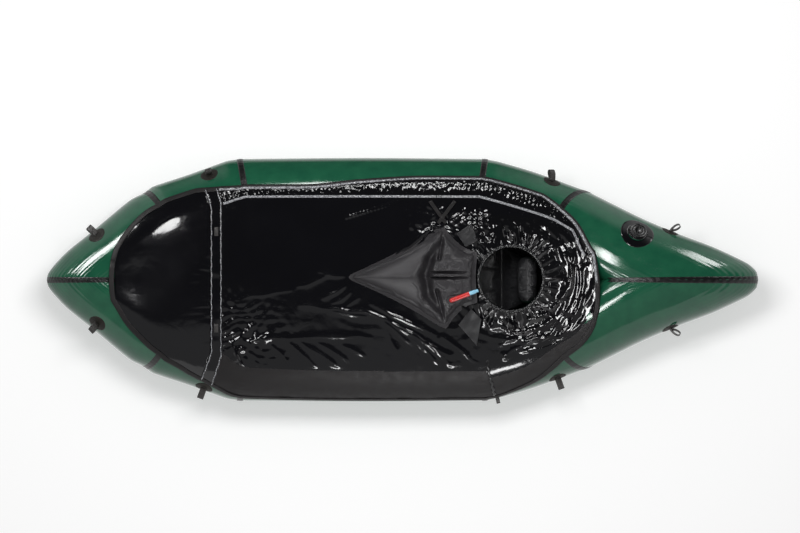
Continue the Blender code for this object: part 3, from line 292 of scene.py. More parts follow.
def cloth_finish(name, light, dark, thread, gloss, relief, wave, wave_height, uv=True, **shader):
    """A coated or woven cloth: threads at a real spacing over slow waves in the fabric.

    thread is the spacing drawn, wave the size of the slow unevenness, both in metres. relief
    and wave_height are the heights of the two. gloss is the lowest and highest roughness.
    """
    material, tree, base, spot = start_finish(name, shader)
    warp, weft = [
        add(tree, "ShaderNodeTexWave",
            {"Vector": spot["UV" if uv else "Object"], "Scale": WAVE_UNIT / thread},
            bands_direction=direction).outputs["Fac"] for direction in "XY"]
    slow = add(tree, "ShaderNodeTexNoise",
               {"Vector": spot["Object"], "Scale": 1 / wave, "Detail": 3.0, "Roughness": 0.5})
    tone = add(tree, "ShaderNodeMapRange",
               {"Value": slow.outputs["Fac"], "From Min": 0.3, "From Max": 0.7})
    colour_and_gloss(tree, base, tone.outputs["Result"], slow.outputs["Fac"], light, dark, gloss)
    fine = add(tree, "ShaderNodeBump", {"Height": compute(tree, "MULTIPLY", warp, weft),
                                        "Distance": relief, "Strength": 0.6})
    slack = add(tree, "ShaderNodeBump", {"Height": slow.outputs["Fac"], "Distance": wave_height,
                                         "Normal": fine.outputs["Normal"]})
    tree.links.new(slack.outputs["Normal"], base.inputs["Normal"])
    return material


def film_finish(name, light, dark, cell, crease, gloss, fleck, **shader):
    """Thin glossy film: flat facets between sharp creases, with finer wrinkles on them.

    cell is the size of the facets, crease the height of their ridges, both in metres, and
    fleck the height of the fine wrinkles.
    """
    material, tree, base, spot = start_finish(name, shader)
    bend = add(tree, "ShaderNodeTexNoise",
               {"Vector": spot["Object"], "Scale": 0.35 / cell, "Detail": 2.0})
    moved = add(tree, "ShaderNodeVectorMath",
                {0: bend.outputs["Color"], 1: (cell * 1.6,) * 3, 2: spot["Object"]},
                operation="MULTIPLY_ADD")
    facets, small = [
        add(tree, "ShaderNodeTexVoronoi", {"Vector": moved.outputs["Vector"], "Scale": scale},
            feature="DISTANCE_TO_EDGE").outputs["Distance"] for scale in (1 / cell, 2.7 / cell)]
    colour_and_gloss(tree, base, bend.outputs["Fac"], bend.outputs["Fac"], light, dark, gloss)
    fine = add(tree, "ShaderNodeBump", {"Height": small, "Distance": fleck})
    big = add(tree, "ShaderNodeBump", {"Height": facets, "Distance": crease,
                                       "Normal": fine.outputs["Normal"]})
    tree.links.new(big.outputs["Normal"], base.inputs["Normal"])
    return material


def moulded_finish(name, light, dark, grain, gloss, relief, **shader):
    """A moulded part: a fine grain from the mould, and a slow change of tone."""
    material, tree, base, spot = start_finish(name, shader)
    fine = add(tree, "ShaderNodeTexNoise",
               {"Vector": spot["Object"], "Scale": 1 / grain, "Detail": 2.0})
    slow = add(tree, "ShaderNodeTexNoise", {"Vector": spot["Object"], "Scale": 90.0})
    colour_and_gloss(tree, base, slow.outputs["Fac"], slow.outputs["Fac"], light, dark, gloss,
                     span=(0, 1))
    bump = add(tree, "ShaderNodeBump", {"Height": fine.outputs["Fac"], "Distance": relief})
    tree.links.new(bump.outputs["Normal"], base.inputs["Normal"])
    return material


# %% [markdown]
# # The tubes are taken to be nylon with a smooth coat, its threads 0.3 mm apart. That is too
# # fine to show from this far, so they are drawn 1.2 mm apart and very shallow. What the eye
# # gets is a deep green, an even gloss, and long soft highlights along each tube.
# #
# # The deck is taken to be a much thinner nylon with a glossy coat. It is nearly black and works
# # almost like a mirror, so every wrinkle shows as a bright fleck.

# %% Finishes of the fabrics
coated_green_nylon = cloth_finish(
    "coated_green_nylon", "#1d5a40", "#17503a", thread=0.0012, gloss=(0.10, 0.15),
    relief=0.00002, wave=0.05, wave_height=0.0004, IOR=1.45)
thin_black_film = film_finish(
    "thin_silicone_coated_nylon", "#0c0c10", "#09090c", cell=0.060, crease=0.0007,
    gloss=(0.08, 0.15), fleck=0.00015, IOR=1.45)
# The same cloth where it is gathered: the facets are as wide, but creased harder.
crinkled_black_film = film_finish(
    "crinkled_silicone_coated_nylon", "#0e0e11", "#09090b", cell=0.060, crease=0.0030,
    gloss=(0.07, 0.13), fleck=0.0003, IOR=1.45)
# Hook-and-loop band under a matte nylon face: dull, brownish black, no sharp highlight.
matte_black_nylon = cloth_finish(
    "matte_black_nylon", "#191617", "#121011", thread=0.0014, gloss=(0.55, 0.7),
    relief=0.00012, wave=0.03, wave_height=0.0008, IOR=1.33)
# Welded tape: the same coated nylon as the tubes in black, dulled by the heat of the weld.
welded_black_tape = cloth_finish(
    "welded_black_tape", "#121213", "#0c0c0d", thread=0.0012, gloss=(0.32, 0.42),
    relief=0.00006, wave=0.01, wave_height=0.0006, IOR=1.4)
# Piping and sewn edges catch the light as thin grey lines. Their colour is painted with these
# glints: small patches from near white to dark grey.
piping_and_seam_painted_glints = cloth_finish(
    "piping_and_seam_painted_glints", "#b9babf", "#232326", thread=0.0018, gloss=(0.18, 0.3),
    relief=0.0003, wave=0.006, wave_height=0.0022, uv=False, IOR=1.5)
# Polyester webbing has ribs about 1.6 mm apart that run across the strap.
ribbed_webbing = cloth_finish(
    "ribbed_polyester_webbing", "#2a2624", "#171514", thread=0.0016, gloss=(0.5, 0.65),
    relief=0.0005, wave=0.006, wave_height=0.0004, uv=False, IOR=1.5)
pillow_nylon = cloth_finish(
    "matte_grey_nylon", "#2b292c", "#252326", thread=0.0013, gloss=(0.5, 0.6),
    relief=0.00008, wave=0.035, wave_height=0.0012, uv=False, IOR=1.45)
seat_nylon = cloth_finish(
    "dark_grey_nylon", "#252527", "#1d1d1f", thread=0.0013, gloss=(0.45, 0.6),
    relief=0.00008, wave=0.03, wave_height=0.0012, uv=False, IOR=1.45)
# Anchor patches are the undyed side of the coated cloth: a dull grey brown.
patch_cloth = cloth_finish(
    "dull_brown_patch_cloth", "#26231e", "#1b1916", thread=0.0014, gloss=(0.6, 0.75),
    relief=0.0002, wave=0.012, wave_height=0.0006, IOR=1.3)
floor_nylon = cloth_finish(
    "heavy_floor_nylon", "#1b1c1c", "#141515", thread=0.0016, gloss=(0.35, 0.5),
    relief=0.0002, wave=0.04, wave_height=0.0012, IOR=1.48)
print("cloth finishes:", len(bpy.data.materials))

# %% Finishes of the moulded parts
# Soft black thermoplastic: a fine grain that breaks the highlight up.
moulded_black_rubber = moulded_finish(
    "moulded_black_rubber", "#131314", "#0c0c0d", grain=0.0006, gloss=(0.16, 0.26),
    relief=0.00008, IOR=1.42)
# The mouth tube is a soft clear-red vinyl that lets a little light in.
soft_red_vinyl = moulded_finish(
    "soft_red_vinyl", "#e0241f", "#bf1416", grain=0.0012, gloss=(0.28, 0.4),
    relief=0.00006, IOR=1.53, Subsurface_Weight=0.15, Subsurface_Scale=0.002)
moulded_blue_plastic = moulded_finish(
    "moulded_light_blue_plastic", "#9fd6ee", "#82c3e2", grain=0.001, gloss=(0.22, 0.32),
    relief=0.00004, IOR=1.49)
drawn_steel_wire = moulded_finish(
    "drawn_steel_wire", "#c9c9cb", "#a7a7aa", grain=0.0003, gloss=(0.22, 0.35),
    relief=0.00002, Metallic=1.0)
print("all finishes:", len(bpy.data.materials))

# %% [markdown]
# # The hull is one ring of tube, cut from five flat panels a side. Where two panels meet at an
# # angle the ring has a mitre seam. Each point of the skin is named by two numbers, its station
# # along the hull, where whole numbers are seams, and its angle round the tube, where 0 is the
# # outer side and 90 the top. Everything else on the boat can then be placed by those two.

# %% The hull's own geometry
HULL_LENGTH, HULL_WIDTH, TUBE_RADIUS = 2.704, 0.918, 0.140
FLOOR_FABRIC, GAP = 0.0010, 0.0003
PANEL_CROWNS = np.array((0.029, 0.012, 0.004, 0.009, 0.038))
PANEL_CROWN_SHARES = (
    ((0, 0), (0.04, 0.5), (0.12, 0.8), (0.25, 1), (0.5, 0.8), (0.86, 0.6), (1, 0)),
    ((0, 0), (0.1, 1), (0.5, 0.75), (0.85, 0.8), (1, 0)),
    ((0, 0), (0.5, 1), (1, 0)),
    ((0, 0), (0.15, 0.7), (0.45, 1), (0.75, 0.5), (1, 0)),
    ((0, 0), (0.28, 0.08), (0.5, 0.37), (0.75, 0.89), (0.9, 0.97), (0.97, 0.66), (1, 0)),
)


def read_smooth(table, places):
    """A smooth line through a table of (place, value), with no overshoot."""
    xs, ys = np.array(table, float).T
    steps = np.diff(xs)
    slopes = np.diff(ys) / steps
    product, total = slopes[1:] * slopes[:-1], slopes[1:] + slopes[:-1]
    inner = np.where(product > 0, 2 * product / np.where(product > 0, total, 1), 0)
    tangents = np.concatenate((slopes[:1], inner, slopes[-1:]))
    places = np.clip(places, xs[0], xs[-1])
    k = np.clip(np.searchsorted(xs, places, side="right") - 1, 0, len(steps) - 1)
    t, step = (places - xs[k]) / steps[k], steps[k]
    return (ys[k] * (1 + 2 * t) * (1 - t) ** 2 + tangents[k] * step * t * (1 - t) ** 2
            + ys[k + 1] * t * t * (3 - 2 * t) + tangents[k + 1] * step * t * t * (t - 1))


def tip_centre(tip_x, shoulder_x, shoulder_y, radius):
    reach = abs(shoulder_x - tip_x)
    slope = atan2(shoulder_y, reach) + asin(radius / hypot(reach, shoulder_y))
    inward = 1 if shoulder_x > tip_x else -1
    return tip_x + inward * radius / sin(slope), 1 / sin(slope)


def make_stations():
    side_y, side_ahead, side_length = HULL_WIDTH / 2 - TUBE_RADIUS, 0.151, 0.887
    bow_side, stern_side = -side_ahead - side_length / 2, -side_ahead + side_length / 2
    bow_shoulder, stern_shoulder = bow_side - 0.316, stern_side + 0.360
    bow_spread, stern_spread, bow_radius = 0.2068, 0.2046, 0.105
    bow_x, bow_stretch = tip_centre(-HULL_LENGTH / 2, bow_shoulder, bow_spread, bow_radius)
    stern_x, stern_stretch = tip_centre(HULL_LENGTH / 2, stern_shoulder, stern_spread, TUBE_RADIUS)
    plan = (
        (bow_x, 0, bow_radius, 0.095, 0), (bow_shoulder, bow_spread, TUBE_RADIUS, 0.018, 0.030),
        (bow_side, side_y, TUBE_RADIUS, 0, 0), (stern_side, side_y, TUBE_RADIUS, 0, 0),
        (stern_shoulder, stern_spread, TUBE_RADIUS, 0, -0.075),
        (stern_x, 0, TUBE_RADIUS, 0.050, 0),
    )
    centre = np.array([(x, y, FLOOR_FABRIC + GAP + r + rise) for x, y, r, rise, _ in plan])
    heading = np.diff(centre, axis=0) * (1, 1, 0)
    heading /= np.linalg.norm(heading, axis=1, keepdims=True)
    side, lift = np.zeros((6, 3)), np.zeros((6, 3))
    for i, (_, _, radius, _, rake) in enumerate(plan):
        if i == 0:
            across, along = np.array((-bow_stretch, 0, 0)), np.array((0, 1, 0))
        elif i == 5:
            across, along = np.array((stern_stretch, 0, 0)), np.array((0, -1, 0))
        else:
            along = heading[i - 1] + heading[i]
            along /= np.linalg.norm(along)
            across = np.array((-along[1], along[0], 0)) / along.dot(heading[i])
        side[i], lift[i] = across * radius, np.array((0, 0, radius)) + along * rake
    return centre, side, lift, np.stack((-heading[:, 1], heading[:, 0], heading[:, 0] * 0), 1)


CENTRE, SIDE, RISE, OUTWARD = make_stations()
LENGTHS = np.linalg.norm(np.diff(CENTRE, axis=0), axis=1)
print("panel lengths in mm:", np.round(LENGTHS * 1000))

# %% [markdown]
# # Taut fabric puckers where it is welded into a curved seam, because one edge has to be eased
# # in. The puckers are about 20 mm apart, under a millimetre deep, and die out a few
# # centimetres from the seam. They only go inwards, so the tapes still lie on the skin.

# %% Points of the skin


def skin(side, station, degrees_round, lift=0.0):
    """Points of the tube's skin, lifted along its normal. The inputs are numbers or arrays."""
    station, angle = np.broadcast_arrays(np.asarray(station, float),
                                         np.radians(np.asarray(degrees_round, float)))
    panel = np.clip(np.floor(station).astype(int), 0, 4)
    share = station - panel
    c, s = np.cos(angle)[..., None], np.sin(angle)[..., None]
    start = CENTRE[panel] + SIDE[panel] * c + RISE[panel] * s
    end = CENTRE[panel + 1] + SIDE[panel + 1] * c + RISE[panel + 1] * s
    point = start + (end - start) * share[..., None]
    swell = np.zeros(share.shape)
    for k in range(5):
        swell = np.where(panel == k, read_smooth(PANEL_CROWN_SHARES[k], share), swell)
    swell = swell * PANEL_CROWNS[panel]
    point = point + OUTWARD[panel] * (swell[..., None] * ((1 + c) / 2) ** 2)
    nearest = np.round(station)
    away = np.abs(station - nearest) * LENGTHS[panel]
    round_way = angle * TUBE_RADIUS
    wander = 2.2 * np.sin(round_way * 31 + nearest * 5 + side)
    at_tip = (nearest == 5) | (nearest == 0)
    depth = np.where(at_tip, 0.0021, 0.0008) * np.exp(-away / np.where(at_tip, 0.045, 0.020))
    depth = depth * (0.5 - 0.5 * np.sin(round_way * np.where(at_tip, 430, 300) + wander))
    normal = OUTWARD[panel] * c + np.array((0, 0, 1)) * s
    point = point + normal * (np.asarray(lift) - depth)[..., None]
    return point * (1, side, 1)


def run_between(start, end, step):
    """Stations from start to end, spaced by about a step in metres."""
    marks = [start, *range(ceil(start + 1e-6), ceil(end)), end]
    parts = []
    for a, b in zip(marks, marks[1:]):
        count = max(1, ceil((b - a) * LENGTHS[min(int(a), 4)] / step))
        parts.append(np.linspace(a, b, count + 1)[:-1])
    return np.append(np.concatenate(parts), end)


PANEL_NAMES = ("bow_cone", "bow_quarter", "side_tube", "stern_quarter", "stern_cone")
SIDE_NAMES = {1: "starboard", -1: "port"}
turns_round = np.linspace(-90, 270, 241)
for side in (1, -1):
    for panel, panel_name in enumerate(PANEL_NAMES):
        length = LENGTHS[panel]
        near = np.array((0, 3, 7, 11, 16, 22, 29, 38, 50, 66)) / 1000 / length
        middle = np.linspace(near[-1], 1 - near[-1], ceil((1 - 2 * near[-1]) * length / 0.022) + 1)
        shares = np.concatenate((near, middle[1:-1], 1 - near[::-1]))
        shares[-1] -= 1e-6
        rows = panel + np.clip(shares, 0, 1 - 1e-6)
        grid = skin(side, rows[:, None], turns_round[None])
        name = f"{panel_name}_{SIDE_NAMES[side]}"
        lay_sheet(f"skin_{name}", grid, coated_green_nylon, flip=side > 0,
                  stands_for=[name], slot="hull_fabric")
print("hull panels laid")

# %% [markdown]
# # Every seam is covered by a black tape, 23 mm wide, welded on. It follows the skin closely,
# # so it shows the same puckers. The tapes over the two middle seams join the two halves.

# %% Seam tapes
SEAM_NAMES = ("bow_shoulder", "bow_side", "stern_side", "stern_shoulder")
tape_places = np.array((-11.5, -11.0, -7, -3.5, 0, 3.5, 7, 11.0, 11.5)) / 1000
tape_lift = np.array((0.2, 1, 1, 1, 1.1, 1, 1, 1, 0.2)) * 0.0011
ring = np.linspace(-66, 254, 170)


def reach_of(side, seam, ahead):
    """Length of a station's unit on the skin next to a seam, at each turn of the ring."""
    step = 0.04 * ahead
    return np.linalg.norm(skin(side, seam + step, ring) - skin(side, seam, ring), axis=1) / 0.04


for side in (1, -1):
    for index, seam in enumerate(SEAM_NAMES, start=1):
        before, after = reach_of(side, index, -1), reach_of(side, index, 1)
        station = index + tape_places[None] / np.where(
            tape_places[None] < 0, before[:, None], after[:, None])
        grid = skin(side, station, ring[:, None], tape_lift[None])
        name = f"seam_tape_{seam}_{SIDE_NAMES[side]}"
        lay_sheet(f"welded_{name}", grid, welded_black_tape, flip=side < 0, thickness=0.0005,
                  stands_for=[name], slot="tape")
for name, seam, ring in (("bow_centre_tape", 0, np.linspace(-66, 128, 130)),
                         ("stern_centre_tape", 5, np.linspace(-66, 146, 150))):
    inward = 1 if seam == 0 else -1
    middle_reach = np.abs(skin(1, seam + inward * 0.05, ring)[:, 1]) / 0.05
    halves = []
    for place, lift in zip(tape_places, tape_lift + 0.0004):
        far = np.clip(0.85 * abs(place) / middle_reach, 0, 0.3)
        station = np.clip(seam + inward * far, 1e-6, 5 - 1e-6)
        halves.append(skin(1 if place > 0 else -1, station, ring, lift))
    grid = np.stack(halves, axis=1)
    near_tip = 0.4 + 0.6 * smooth(60, 0, np.abs(ring - 20))
    ripple = 0.0008 * near_tip * (1 + np.sin(np.radians(ring) * TUBE_RADIUS * 420))
    grid[:, :, 2] += ripple[:, None] * np.array((0.2, 0.8, 1, 0.5, 0, 0.5, 1, 0.8, 0.2))
    lay_sheet(f"welded_{name}", grid, welded_black_tape, flip=seam == 0, thickness=0.0005,
              stands_for=[name], slot="tape")
print("seam tapes laid")

# %% [markdown]
# # The floor is a heavier coated nylon, welded to the undersides of both tubes. Between them
# # it hangs a little slack, so it waves slightly when nobody sits on it.

# %% Floor sheet
floor_rows = run_between(0.12, 4.88, 0.016)
slack = GAP + 0.0022 * np.interp(
    floor_rows, (0.8, 1.1, 2, 4, 4.1), (1, 0.6, 0, 0, 1))
wraps = np.array((-72, -76, -80, -84, -88, -90))
port = np.stack([skin(-1, floor_rows, turn, slack) for turn in wraps], axis=1)
starboard = np.stack([skin(1, floor_rows, turn, slack) for turn in wraps[::-1]], axis=1)
shares = np.linspace(0, 1, 26)[1:-1]
middle = port[:, -1:] + (starboard[:, :1] - port[:, -1:]) * shares[None, :, None]
waves = noise(middle[..., 0], middle[..., 1], 0.11, 3)
middle[..., 2] += 0.0022 * (1 + waves) * np.sin(pi * shares)[None]
floor_grid = np.concatenate((port, middle, starboard), axis=1)
floor = lay_sheet("floor_cloth", floor_grid, floor_nylon, thickness=FLOOR_FABRIC, flip=True,
                  stands_for=["floor_sheet"], slot="tape")

# %% [markdown]
# # The spray deck is cut from one kind of thin cloth and runs over both tubes. Its edge is a
# # curve on each tube, high on the starboard side and low on the port side. A row of the deck
# # starts at one edge, goes over the tube's top, across to the other tube and down to the
# # other edge. The row is then divided evenly, so that wrinkles come out even too.

# %% Rows of the deck
DECK_CLEARANCE, DECK_SAG = 0.0032, 0.012
STARBOARD_EDGE = (
    (0.30, 88), (0.47, 74), (0.66, 64), (0.86, 59), (1.4, 58), (1.65, 66), (2.0, 76),
    (2.25, 76), (2.5, 68), (2.78, 62), (3.70, 62), (3.85, 67), (4.0, 74), (4.12, 82),
    (4.28, 99), (4.35, 106), (4.43, 112))
PORT_EDGE = (
    (0.30, 88), (0.41, 82), (0.63, 70), (0.86, 64), (1.25, 54), (1.4, 48), (1.7, 39),
    (2.0, 28), (2.4, 23), (3.0, 22), (3.15, 23), (3.3, 27), (3.6, 38), (3.75, 47), (4.0, 63),
    (4.12, 69), (4.28, 86), (4.35, 96), (4.43, 106))
BOW_START, DECK_START, DECK_END = 0.30, 1.672, 4.43
HOLE, HOLE_STATION = np.array((0.4125, 0.005)), 2.937
HOLE_HALF = np.array((0.120, 0.124))
HEM_RADIUS, HEM_LIFT = 0.007, 0.014
TENT_REACH, TENT_POWER = 0.125, 1.4


def edge_turn(side, station):
    return read_smooth(STARBOARD_EDGE if side > 0 else PORT_EDGE, station)


def hang_between(port, starboard, share):
    """Points of the deck between two ends, with its sag; share runs from -1 at port to 1."""
    share = np.asarray(share, float)
    points = port + (starboard - port) * ((share + 1) / 2)[..., None]
    sag = min(DECK_SAG, starboard[1] ** 2 / (10 * TUBE_RADIUS))
    points[..., 2] -= (1 - share * share) ** 2 * sag
    return points


def deck_grid(places, columns, lift=0.0):
    """Rows of the deck, and for each point its part of the row and its distances to the edges.

    The part runs from 0 to 1 on the starboard tube, to 2 between the tubes, to 3 on the port.
    """
    grid, marks = [], []
    for place in places:
        turns = {side: float(edge_turn(side, place)) for side in (1, -1)}
        ends = {side: skin(side, place, max(90, turns[side]), DECK_CLEARANCE + lift)
                for side in (1, -1)}
        path = [hang_between(ends[-1], ends[1], np.linspace(1, -1, 121))]
        part = [np.linspace(1, 2, 121)]
        for side in (1, -1):
            if turns[side] < 90:
                down = np.linspace(turns[side], 90, 40)[:-1]
                tube = skin(side, place, down, DECK_CLEARANCE + lift)
                mark = np.linspace(0, 1, 40)[:-1]
                if side > 0:
                    path, part = [tube] + path, [mark] + part
                else:
                    path, part = path + [tube[::-1]], part + [3 - mark[::-1]]
        path, part = np.concatenate(path), np.concatenate(part)
        run = np.concatenate(((0,), np.cumsum(np.linalg.norm(np.diff(path, axis=0), axis=1))))
        even = np.linspace(0, run[-1], columns)
        grid.append(np.stack([np.interp(even, run, path[:, k]) for k in range(3)], axis=1))
        marks.append(np.stack((np.interp(even, run, part), even, run[-1] - even), axis=1))
    return np.array(grid), np.array(marks)


# %% [markdown]
# # Long folds run over a slack deck from the places that hold it. Each fold here is a line in
# # plan with a width and a height, higher in its middle, and a little crooked. Their places
# # follow the photograph.

# %% Long folds
LONG_FOLDS = (
    # Starts at (x, y), ends at (x, y), width and height, all in millimetres.
    (-580, -235, -400, -222, 10, 4), (-420, -222, -110, -216, 11, 6),
    (-450, -232, -300, -350, 11, 6), (-395, -235, -215, -352, 11, 7),
    (-325, -238, -190, -320, 10, 6), (-500, -245, -420, -330, 10, 5),
    (-230, -245, -130, -300, 9, 5), (-400, -95, -290, -108, 10, 5), (-300, -108, -95, -130, 8, 7),
    (-290, -120, -120, -142, 7, 5), (-675, -85, -400, -30, 8, 2), (-410, -32, -240, 35, 9, 3),
    (-670, -270, -530, -145, 9, 4), (-640, -285, -480, -190, 10, 4),
    (-655, -255, -560, -400, 9, 6), (-640, -240, -430, -215, 10, 4),
    (-660, -230, -610, -330, 8, 5), (-620, -250, -500, -360, 10, 3), (-210, -20, -310, -75, 7, 5),
    (-190, -45, -270, -95, 7, 5), (-160, -62, -230, -110, 7, 4), (-215, 10, -330, 30, 7, 3),
    (-130, -85, 130, -215, 8, 7), (-150, -105, 100, -245, 8, 6), (-110, -125, 60, -270, 9, 6),
    (-40, -165, 200, -300, 9, 6), (20, -215, 150, -330, 9, 6), (90, -225, 210, -350, 10, 6),
    (140, -210, 300, -330, 9, 6), (-60, -190, 0, -330, 9, 5), (0, 100, 120, 220, 7, 5),
    (40, 110, 160, 260, 7, 5), (-40, 80, 60, 170, 8, 4), (150, 200, 270, 300, 7, 7),
    (175, 190, 300, 280, 7, 6), (200, 170, 340, 270, 8, 6), (100, 230, 190, 300, 7, 5),
    (230, 130, 330, 200, 8, 6), (360, -250, 470, -215, 10, 7), (380, -290, 560, -190, 10, 6),
    (375, -200, 500, -190, 9, 6), (400, -310, 520, -290, 9, 5), (375, -275, 420, -350, 8, 8),
    (385, -330, 440, -380, 8, 6), (560, -120, 640, -20, 8, 7), (610, -100, 660, 60, 8, 6),
    (640, -60, 655, 130, 7, 7), (600, 50, 580, 180, 9, 7), (560, 170, 450, 230, 10, 6),
    (520, 240, 400, 260, 10, 5),
)
FOLD_HEIGHT = 1.05  # a share of the heights in the table


def long_folds(x, y):
    height = np.zeros_like(x)
    for k, (x0, y0, x1, y1, width, high) in enumerate(np.array(LONG_FOLDS) / 1000):
        run = np.array((x1 - x0, y1 - y0))
        length = np.linalg.norm(run)
        along = ((x - x0) * run[0] + (y - y0) * run[1]) / length
        off = ((x - x0) * run[1] - (y - y0) * run[0]) / length
        off = off + 0.005 * noise(along, along * 0 + k, 0.05, 90 + k)
        taper = np.clip(np.sin(pi * np.clip(along / length, 0, 1)), 0, 1) ** 0.7
        height = height + FOLD_HEIGHT * high * taper * np.exp(-np.abs(off / width) ** 1.3)
    return height


# %% [markdown]
# # Round the hole the deck is drawn up on elastic. Near the elastic the pleats are narrow and
# # sharp. Further out they run together into bigger facets, and the cloth rises from the deck
# # to the hem like a low tent. The channel on the starboard tube is puckered the same way.

# %% The main deck
PLEATS, BROAD_PLEATS = 58, 23
deck_places = run_between(DECK_START, DECK_END, 0.0042)
grid, marks = deck_grid(deck_places, 236)
x, y = grid[..., 0].copy(), grid[..., 1].copy()
part, from_starboard, from_port = np.moveaxis(marks, -1, 0)
stations = np.repeat(deck_places[:, None], grid.shape[1], axis=1)
aft = smooth(4.22, DECK_END, stations)
spread = np.abs(y) / np.maximum(np.abs(y).max(axis=1, keepdims=True), 1e-6)
grid[..., 0] += 0.008 * aft * (1 - spread ** 2)

off_centre = np.stack((x, y), axis=-1) - HOLE
ratio = np.linalg.norm(off_centre / HOLE_HALF, axis=-1)
ring_out = np.maximum(ratio, 1e-6)
away = (ratio - 1) * HOLE_HALF.mean()
bearing = np.arctan2(off_centre[..., 1] / HOLE_HALF[1], off_centre[..., 0] / HOLE_HALF[0])
hem_z = float(skin(1, HOLE_STATION, 90, DECK_CLEARANCE)[2]) + HEM_LIFT
tent = np.clip(1 - away / TENT_REACH, 0, 1) ** TENT_POWER
grid[..., 2] += (hem_z - grid[..., 2]) * tent * (part > 0.9) * (part < 2.1)

# Pleats at the hem, broader ones behind them, and facets further out.
near_hem = np.exp(-np.maximum(away, 0) / 0.022)
middle_hem = np.exp(-((away - 0.045) / 0.035) ** 2)
pleats = bearing * PLEATS / (2 * pi) + 1.3 * noise(bearing, away, 0.25, 5)
broad = bearing * BROAD_PLEATS / (2 * pi) + 1.6 * noise(bearing, away * 4, 0.4, 6)
pleats, broad = [np.abs((turn % 1) * 2 - 1) - 0.5 for turn in (pleats, broad)]
around = bearing * (HOLE_HALF.mean() + 0.06)
outward = smooth(0.04, 0.12, away)
facets = crumple(around, away * 0.30, 0.050, 11) * (1 - outward)
facets += crumple(around * 0.30, away, 0.040, 12) * outward
facets += 0.5 * crumple(x, y, 0.080, 13)
facets *= 1 - smooth(0.04, 0.01, np.abs(y)) * (x < HOLE[0])
skirt = smooth(0.17, 0.06, away) * smooth(0.16, 0.26, x)
skirt = np.maximum(skirt, 0.75 * smooth(0.26, 0.16, away) * smooth(0.40, 0.50, x))
height = 0.0045 * near_hem * pleats + 0.009 * middle_hem * broad + 0.020 * skirt * facets
inner = smooth(0.95, 1.15, part) * smooth(2.12, 2.02, part)

height += long_folds(x, y)
# A fan of creases behind the cross band's port end, and creases along the port side that
# grow deeper towards the stern.
fan = smooth(0.30, 0.05, np.hypot(x + 0.655, y + 0.26))
below = smooth(-0.10, -0.18, y)
behind = smooth(-0.30, 0.10, x)
height += 0.010 * fan * crumple(x, y, 0.040, 21)
height += below * (0.0015 + 0.0035 * behind) * crumple(x * 0.8, y, 0.060, 31)
# Small creases and a few curved pleats behind the cross band's starboard end.
corner = smooth(0.10, 0.03, np.hypot(x + 0.655, y - 0.262))
height += 0.003 * corner * crumple(x, y, 0.022, 41)
arcs = np.hypot(x + 0.600, y - 0.345) + 0.004 * noise(x, y, 0.03, 42)
pleated = smooth(0.042, 0.020, np.hypot(x + 0.650, (y - 0.298) * 0.8))
height += 0.0020 * pleated * np.sin(arcs * 2 * pi / 0.0125)
# Creases starboard of the pillow, and a dotted line of stitches forward of it.
above = smooth(0.12, 0.2, y) * smooth(-0.03, 0.10, x) * smooth(0.36, 0.30, x)
height += 0.012 * above * crumple(x * 0.8 + y * 0.5, y, 0.035, 51)
dotted = np.exp(-((y - np.interp(x, (-0.22, -0.03, 0.15), (0.236, 0.293, 0.342))) / 0.007) ** 2)
dotted = dotted * smooth(-0.24, -0.20, x) * smooth(0.17, 0.12, x)
height += dotted * 0.0036 * (1 + np.sin(x * 2 * pi / 0.0135))
height *= inner

# The puckered channel on the starboard tube, and the same puckers round the stern.
run_length = stations * 0 + np.concatenate(
    ((0,), np.cumsum(np.linalg.norm(np.diff(grid[:, 20], axis=0), axis=1))))[:, None]
channel = smooth(0.08, 0.25, part) * smooth(1.0, 0.8, part) * smooth(4.16, 4.05, stations)
uneven = 0.55 + 0.45 * noise(run_length, part, 0.045, 61)
height += channel * uneven * 0.0022 * np.sin(
    run_length * 2 * pi / 0.0165 + 2.0 * noise(run_length, part * 0.3, 0.08, 62))
height += channel * 0.004 * (crumple(run_length, part * 0.05, 0.020, 63) + 0.3)
ring_band = smooth(0.075, 0.055, from_starboard) * smooth(3.75, 4.0, stations)
height += ring_band * (1 - channel) * 0.0045 * crumple(
    run_length, from_starboard, 0.018, 64)
# The closure band on the port tube is stiff, so it is only a little uneven.
band = smooth(2.0, 2.06, part) * smooth(3.2, 3.05, stations)
height += band * 0.0009 * noise(x, y, 0.05, 71)
# Where the deck lies on a tube no crease may go deeper than its clearance allows.
on_tube = (part < 1.06) | (part > 1.94) | (x > 0.56)
height = np.where(on_tube, np.maximum(height, -0.0016), height)
still = smooth(0.0, 0.006, from_starboard) * smooth(0.0, 0.006, from_port)
still = still * smooth(DECK_START, 1.700, stations) * smooth(0, 0.01, np.maximum(away, 0) + 0.004)
deck = grid + upward_normals(grid) * (height * still)[..., None]

# Points inside the hole are drawn out to its edge, and faces wholly inside are left out.
hidden = ratio < 1
snap = np.where(hidden, 1 / ring_out, 1)[..., None]
flat = HOLE + off_centre * snap
deck[..., 0] = np.where(hidden, flat[..., 0], deck[..., 0])
deck[..., 1] = np.where(hidden, flat[..., 1], deck[..., 1])
deck[..., 2] = np.where(hidden, hem_z, deck[..., 2])
corners = cell_faces(*deck.shape[:2])
keep = ~hidden.reshape(-1)[corners].all(axis=1)
matte_width = np.interp(stations, (1.6, 3.06, 3.12, 3.9, 4.25, DECK_END),
                        (0.145, 0.145, 0.110, 0.060, 0.035, 0.030))
matte = (from_port < matte_width).reshape(-1)[corners].all(axis=1)[keep]
crinkled = ((skirt * inner + channel + ring_band) > 0.35).reshape(-1)[corners].any(axis=1)[keep]
deck_cloth = lay_sheet(
    "spray_deck", deck, (thin_black_film, matte_black_nylon, crinkled_black_film), keep=keep,
    stands_for=["main_deck_panel", "cockpit_skirt", "rim_gather_band", "closure_band"],
    slot="deck_fabric")
